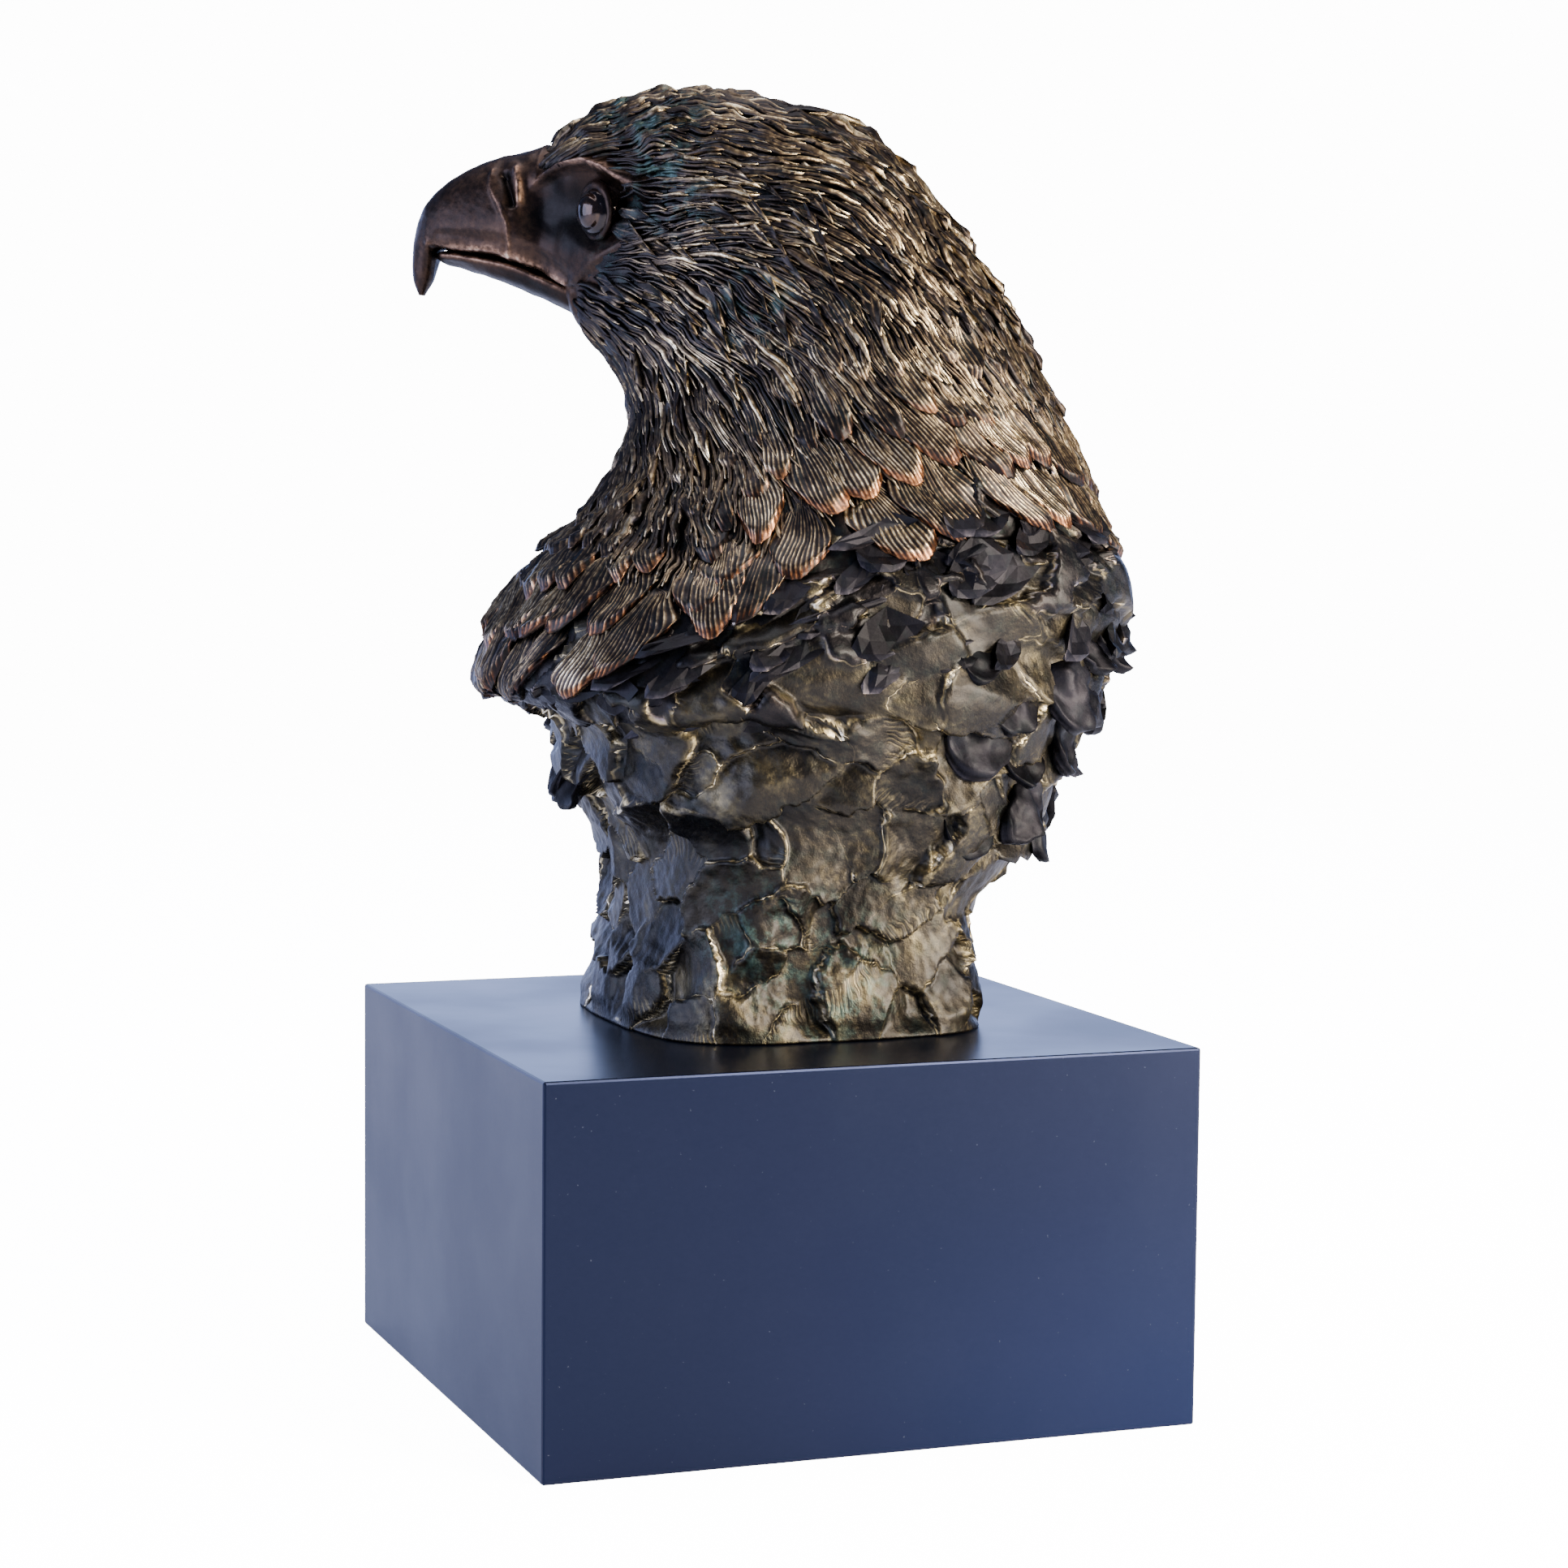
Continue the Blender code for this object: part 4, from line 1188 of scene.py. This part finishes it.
def bronze(name, stops, grain, low_rough, high_rough, green_share, scraped=False, sharp=1.0, coat=0.2):
    """Bronze whose colour runs through the stops from sheltered to rubbed."""
    material, tree, shader, where = new_material(name)
    add = partial(add_node, tree)
    rub, tone, green, copper, slate = (add("Attribute", output="Fac", attribute_name=key)
                                       for key in ("rub", "tone", "green", "copper", "slate"))
    grains = ((9.0, 4.0, 0.55), (0.7, 2.0, 0.55), (grain, 4.0, 0.60), (2.2, 5.0, 0.65))
    cloud, speck, pits, patch = (
        add("TexNoise", {"Vector": where, "Scale": per_metre(size), "Detail": detail, "Roughness": rough})
        for size, detail, rough in grains)
    # rub is mostly rubbed wear, with painted shade round the eye, on the lower bill and below the clay's
    # steps, and a painted highlight above them.
    worn = add("Math", (add("Math", (rub, 0.0), operation="MAXIMUM"), sharp), operation="POWER")
    worn = add("Math", (worn, add("MapRange", (speck, 0.30, 0.70, 0.6, 1.15), **SMOOTH)), **TIMES)
    if scraped:
        lip, ribs = scrapes(add)
        worn = add("Math", (lip, 0.68, worn), **TIMES_PLUS)
        worn = add("Math", (ribs, 0.15, worn), **TIMES_PLUS)
        relief = add("Math", (ribs, 0.6, lip), **TIMES_PLUS)
        pits = add("Math", (pits, 1.4, relief), **TIMES_PLUS)
    drift = add("MapRange", (cloud, 0.3, 0.7, -0.08, 0.12), **SMOOTH)
    drift = add("Math", (tone, 0.13 if scraped else 0.08, drift), **TIMES_PLUS)
    ramp = add("ValToRGB", (add("Math", (worn, drift), operation="ADD", use_clamp=True),))
    set_stops(ramp.node.color_ramp, stops)
    bluish = add("Mix", {0: 1.0, 6: ramp, 7: linear(SLATE_TINT)}, 2, **TINT)
    plain = add("Mix", {0: slate, 6: ramp, 7: bluish}, 2, **COLOUR)
    reddish = add("Mix", {0: 1.0, 6: plain, 7: linear(COPPER_TINT)}, 2, **TINT)
    warm = add("MapRange", (copper, 0.15, 0.95), **SMOOTH)
    metal = add("Mix", {0: warm, 6: plain, 7: reddish}, 2, **COLOUR)
    sheltered = add("Math", (worn, -0.9, 1.0), use_clamp=True, **TIMES_PLUS)
    reach = add("Math", (add("MapRange", (patch, 0.46, 0.66), **SMOOTH), sheltered), **TIMES)
    reach = add("Math", (add("Math", (green, reach), **TIMES), green_share), use_clamp=True, **TIMES)
    verdigris = add("Mix", {0: speck, 6: linear(VERDIGRIS_DARK), 7: linear(VERDIGRIS_PALE)}, 2, **COLOUR)
    rough = add("MapRange", (worn, 0.0, 1.0, high_rough, low_rough), **SMOOTH)
    fine = add("MapRange", (speck, 0.3, 0.7, -0.04, 0.06), **SMOOTH)
    rough = add("Math", (rough, fine), operation="ADD")
    set_inputs(tree, shader, {
        "Base Color": add("Mix", {0: reach, 6: metal, 7: verdigris}, 2, **COLOUR),
        "Metallic": add("MapRange", (reach, 0.0, 1.0, 0.92, 0.15), **SMOOTH),
        "Roughness": add("Math", (reach, 0.25, rough), **TIMES_PLUS),
        "Coat Weight": coat,
        "Coat Roughness": 0.30 if coat < 0.5 else 0.05,
        "Normal": add("Bump", {"Height": pits, "Strength": 0.7 if scraped else 0.35, "Distance": 0.0004}),
    })
    return material


FEATHER_STOPS = ((0.0, "#0b0a0b"), (0.20, "#241d1b"), (0.44, "#665640"), (0.70, "#bba67b"), (1.0, "#f8ebc6"))
CLAY_STOPS = ((0.0, "#0e0d0c"), (0.18, "#2a261e"), (0.42, "#5a523b"), (0.70, "#a89870"), (1.0, "#f6eaca"))
SLATE_STOPS = ((0.0, "#0e0d10"), (0.18, "#222126"), (0.42, "#4a464a"), (0.70, "#978a78"), (1.0, "#e8dabc"))
BILL_STOPS = ((0.0, "#0c0807"), (0.18, "#2a1d16"), (0.42, "#4c382a"), (0.70, "#8f7059"), (1.0, "#d3b99c"))
feather_bronze = bronze("brown_patina_on_feathers", FEATHER_STOPS, 0.5, 0.22, 0.42, 0.55, sharp=1.7)
clay_bronze = bronze("olive_patina_on_clay", CLAY_STOPS, 0.8, 0.26, 0.44, 0.30, scraped=True)
slate_bronze = bronze("dark_patina_on_shards", SLATE_STOPS, 0.8, 0.42, 0.54, 0.2, coat=0.05)
bill_bronze = bronze("smooth_patina_on_bill", BILL_STOPS, 1.2, 0.32, 0.42, 0.12, coat=0.1)
eye_bronze = bronze("polished_eye", BILL_STOPS, 2.0, 0.10, 0.14, 0.0, coat=0.6)

# %% [markdown]
# Black lacquer
#
# The plinth is a box of board under sprayed black lacquer, rubbed to a satin. It reflects
# the room softly and a little blue, with a faint waviness and specks of dust. Its colour also
# carries a painted bluish reflection that grows towards the back and the bottom.

# %% Satin black lacquer
def black_lacquer():
    """Near-black satin paint with a slight waviness, specks of dust and a painted bluish reflection towards
    the back and the bottom.
    """
    material, tree, shader, where = new_material("satin_black_lacquer")
    add = partial(add_node, tree)
    cloud, dust, peel = (
        add("TexNoise", {"Vector": where, "Scale": per_metre(size), "Detail": detail, "Roughness": 0.55})
        for size, detail in ((30.0, 3.0), (0.5, 2.0), (3.0, 2.0)))
    # Painted reflection: the black turns bluish towards +y (the back) and towards the bottom, standing in
    # for the room reflected in the lacquer.
    y, z = add("SeparateXYZ", (where,)).node.outputs[1:]
    behind = add("MapRange", (y, -0.06, 0.09), **SMOOTH)
    low = add("MapRange", (z, 0.09, -0.02), **SMOOTH)
    painted_reflection = add("Math", (behind, low), **TIMES)
    black = add("Mix", {0: painted_reflection, 6: linear("#04060f"), 7: linear("#101830")}, 2, **COLOUR)
    speck = add("MapRange", (dust, 0.72, 0.78), **SMOOTH)
    set_inputs(tree, shader, {
        "Base Color": add("Mix", {0: speck, 6: black, 7: linear("#3a3d44")}, 2, **COLOUR),
        "Roughness": add("MapRange", (cloud, 0.3, 0.7, 0.30, 0.38), **SMOOTH),
        "Specular IOR Level": 0.38,
        "Specular Tint": linear("#a2b6ff"),
        "Normal": add("Bump", {"Height": peel, "Strength": 0.06, "Distance": 0.0003}),
    })
    return material


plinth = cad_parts["plinth"]
lacquer = black_lacquer()
for material_slot in plinth.material_slots:
    material_slot.material = lacquer

# %% Finishes and bodies
finishes = {
    feather_bronze: [core, head_strands, neck_strands, scattered_feathers, nape_feathers, neck_feathers,
                     hem_feathers],
    clay_bronze: [column],
    slate_bronze: [shards, lobes, front_lobes],
    bill_bronze: [head, jaw, *lids],
    eye_bronze: eyes,
}
for finish, pieces in finishes.items():
    for piece in pieces:
        piece.data.materials.append(finish)
        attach(piece, "root")
        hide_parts("eagle_bust")
        print(piece.name, "->", finish.name)

# %% [markdown]
# Floor, light and camera
#
# The photograph is a catalogue picture: white ground, a window on the left that gives the
# cool sheen, and a warmer lamp at the right. Area lamps stand in for them. The floor is
# white paper, and it melts into the white room a little way off, as a photographer's sweep
# does.

# %% Floor
FLOOR_SIDE = 8.0
FLOOR_SOLID = 0.45
FLOOR_GONE = 1.9


def build_floor():
    """A plain pale floor, level with the plinth's underside, that thins out with distance."""
    half = FLOOR_SIDE / 2.0
    under = CAD_BOX[0][2]
    mesh = bpy.data.meshes.new("floor")
    corners = [(-half, -half, under), (half, -half, under), (half, half, under), (-half, half, under)]
    mesh.from_pydata(corners, [], [(0, 1, 2, 3)])
    floor = bpy.data.objects.new("floor", mesh)
    bpy.context.scene.collection.objects.link(floor)
    material, tree, shader, where = new_material("pale_paper")
    add = partial(add_node, tree)
    seen = add("LightPath", output="Is Camera Ray")
    far = add("VectorMath", (where,), "Value", operation="LENGTH")
    set_inputs(tree, shader, {
        "Base Color": linear("#f4f5f8"),
        "Roughness": 0.8,
        "Emission Color": add("Mix", {0: seen, 6: linear("#9aace4"), 7: linear("#ffffff")}, 2, **COLOUR),
        "Emission Strength": add("MapRange", (seen, 0.0, 1.0, 0.7, 14.0), **SMOOTH),
        "Alpha": add("MapRange", (far, FLOOR_SOLID, FLOOR_GONE, 1.0, 0.0), **SMOOTH),
    })
    mesh.materials.append(material)
    return floor


floor = build_floor()

# %% Lights and world
def add_lamp(name, place, target, size, power, code):
    """An area lamp at a place, aimed at a target."""
    lamp = bpy.data.lights.new(name, "AREA")
    lamp.shape = "RECTANGLE"
    lamp.size, lamp.size_y = size
    lamp.energy = power
    lamp.color = linear(code)[:3]
    holder = bpy.data.objects.new(name, lamp)
    holder.location = place
    holder.rotation_euler = (Vector(target) - Vector(place)).to_track_quat("-Z", "Y").to_euler()
    holder.visible_camera = False
    bpy.context.scene.collection.objects.link(holder)
    return holder


AIM = (0.0, 0.0, 0.17)
lamps = [
    add_lamp("window", (0.10, -1.25, 0.40), AIM, (1.2, 0.9), 24.0, "#ccd4fc"),
    add_lamp("warm_lamp", (1.05, 0.55, 0.75), AIM, (0.40, 0.40), 33.0, "#fff1e0"),
    add_lamp("low_panel", (0.72, 0.80, 0.13), (0.0, 0.0, 0.12), (0.5, 0.3), 25.0, "#fff0de"),
    add_lamp("top_panel", (-0.1, -0.1, 1.3), AIM, (0.9, 0.9), 9.0, "#fbf6ff"),
    add_lamp("back_panel", (-1.5, 0.55, 0.42), AIM, (1.7, 0.7), 14.0, "#b4c8ff"),
    add_lamp("far_window", (-1.5, -0.8, 0.30), AIM, (1.4, 0.9), 11.0, "#b0bdf4"),
]

world = bpy.data.worlds.new("white_room")
world.use_nodes = True
bpy.context.scene.world = world
tree = world.node_tree
background = next(node for node in tree.nodes if node.type == "BACKGROUND")
ray = add_node(tree, "LightPath", output="Is Camera Ray")
set_inputs(tree, background, {
    "Color": add_node(tree, "Mix", {0: ray, 6: linear("#7c90c4"), 7: linear("#ffffff")}, 2, **COLOUR),
    "Strength": add_node(tree, "MapRange", (ray, 0.0, 1.0, 0.44, 14.0), **SMOOTH),
})
print("staged:", floor.name, *(lamp.name for lamp in lamps))

# %% Camera
CAMERA_PLACE = (0.75717, -0.28236, 0.20544)
CAMERA_LOOK = (-0.93152655, 0.35383448, -0.08402056)
CAMERA_ROLL = math.radians(0.552)
PHOTO_SIDE = 1932.0
PHOTO_FOCAL_PIXELS = 4351.83
SENSOR = 36.0

lens = bpy.data.cameras.new("camera")
lens.sensor_width = SENSOR
lens.lens = SENSOR * PHOTO_FOCAL_PIXELS / PHOTO_SIDE
camera = bpy.data.objects.new("camera", lens)
camera.location = CAMERA_PLACE
level = Vector(CAMERA_LOOK).to_track_quat("-Z", "Y")
camera.rotation_euler = (level @ Quaternion((0.0, 0.0, 1.0), CAMERA_ROLL)).to_euler()
bpy.context.scene.collection.objects.link(camera)
bpy.context.scene.camera = camera
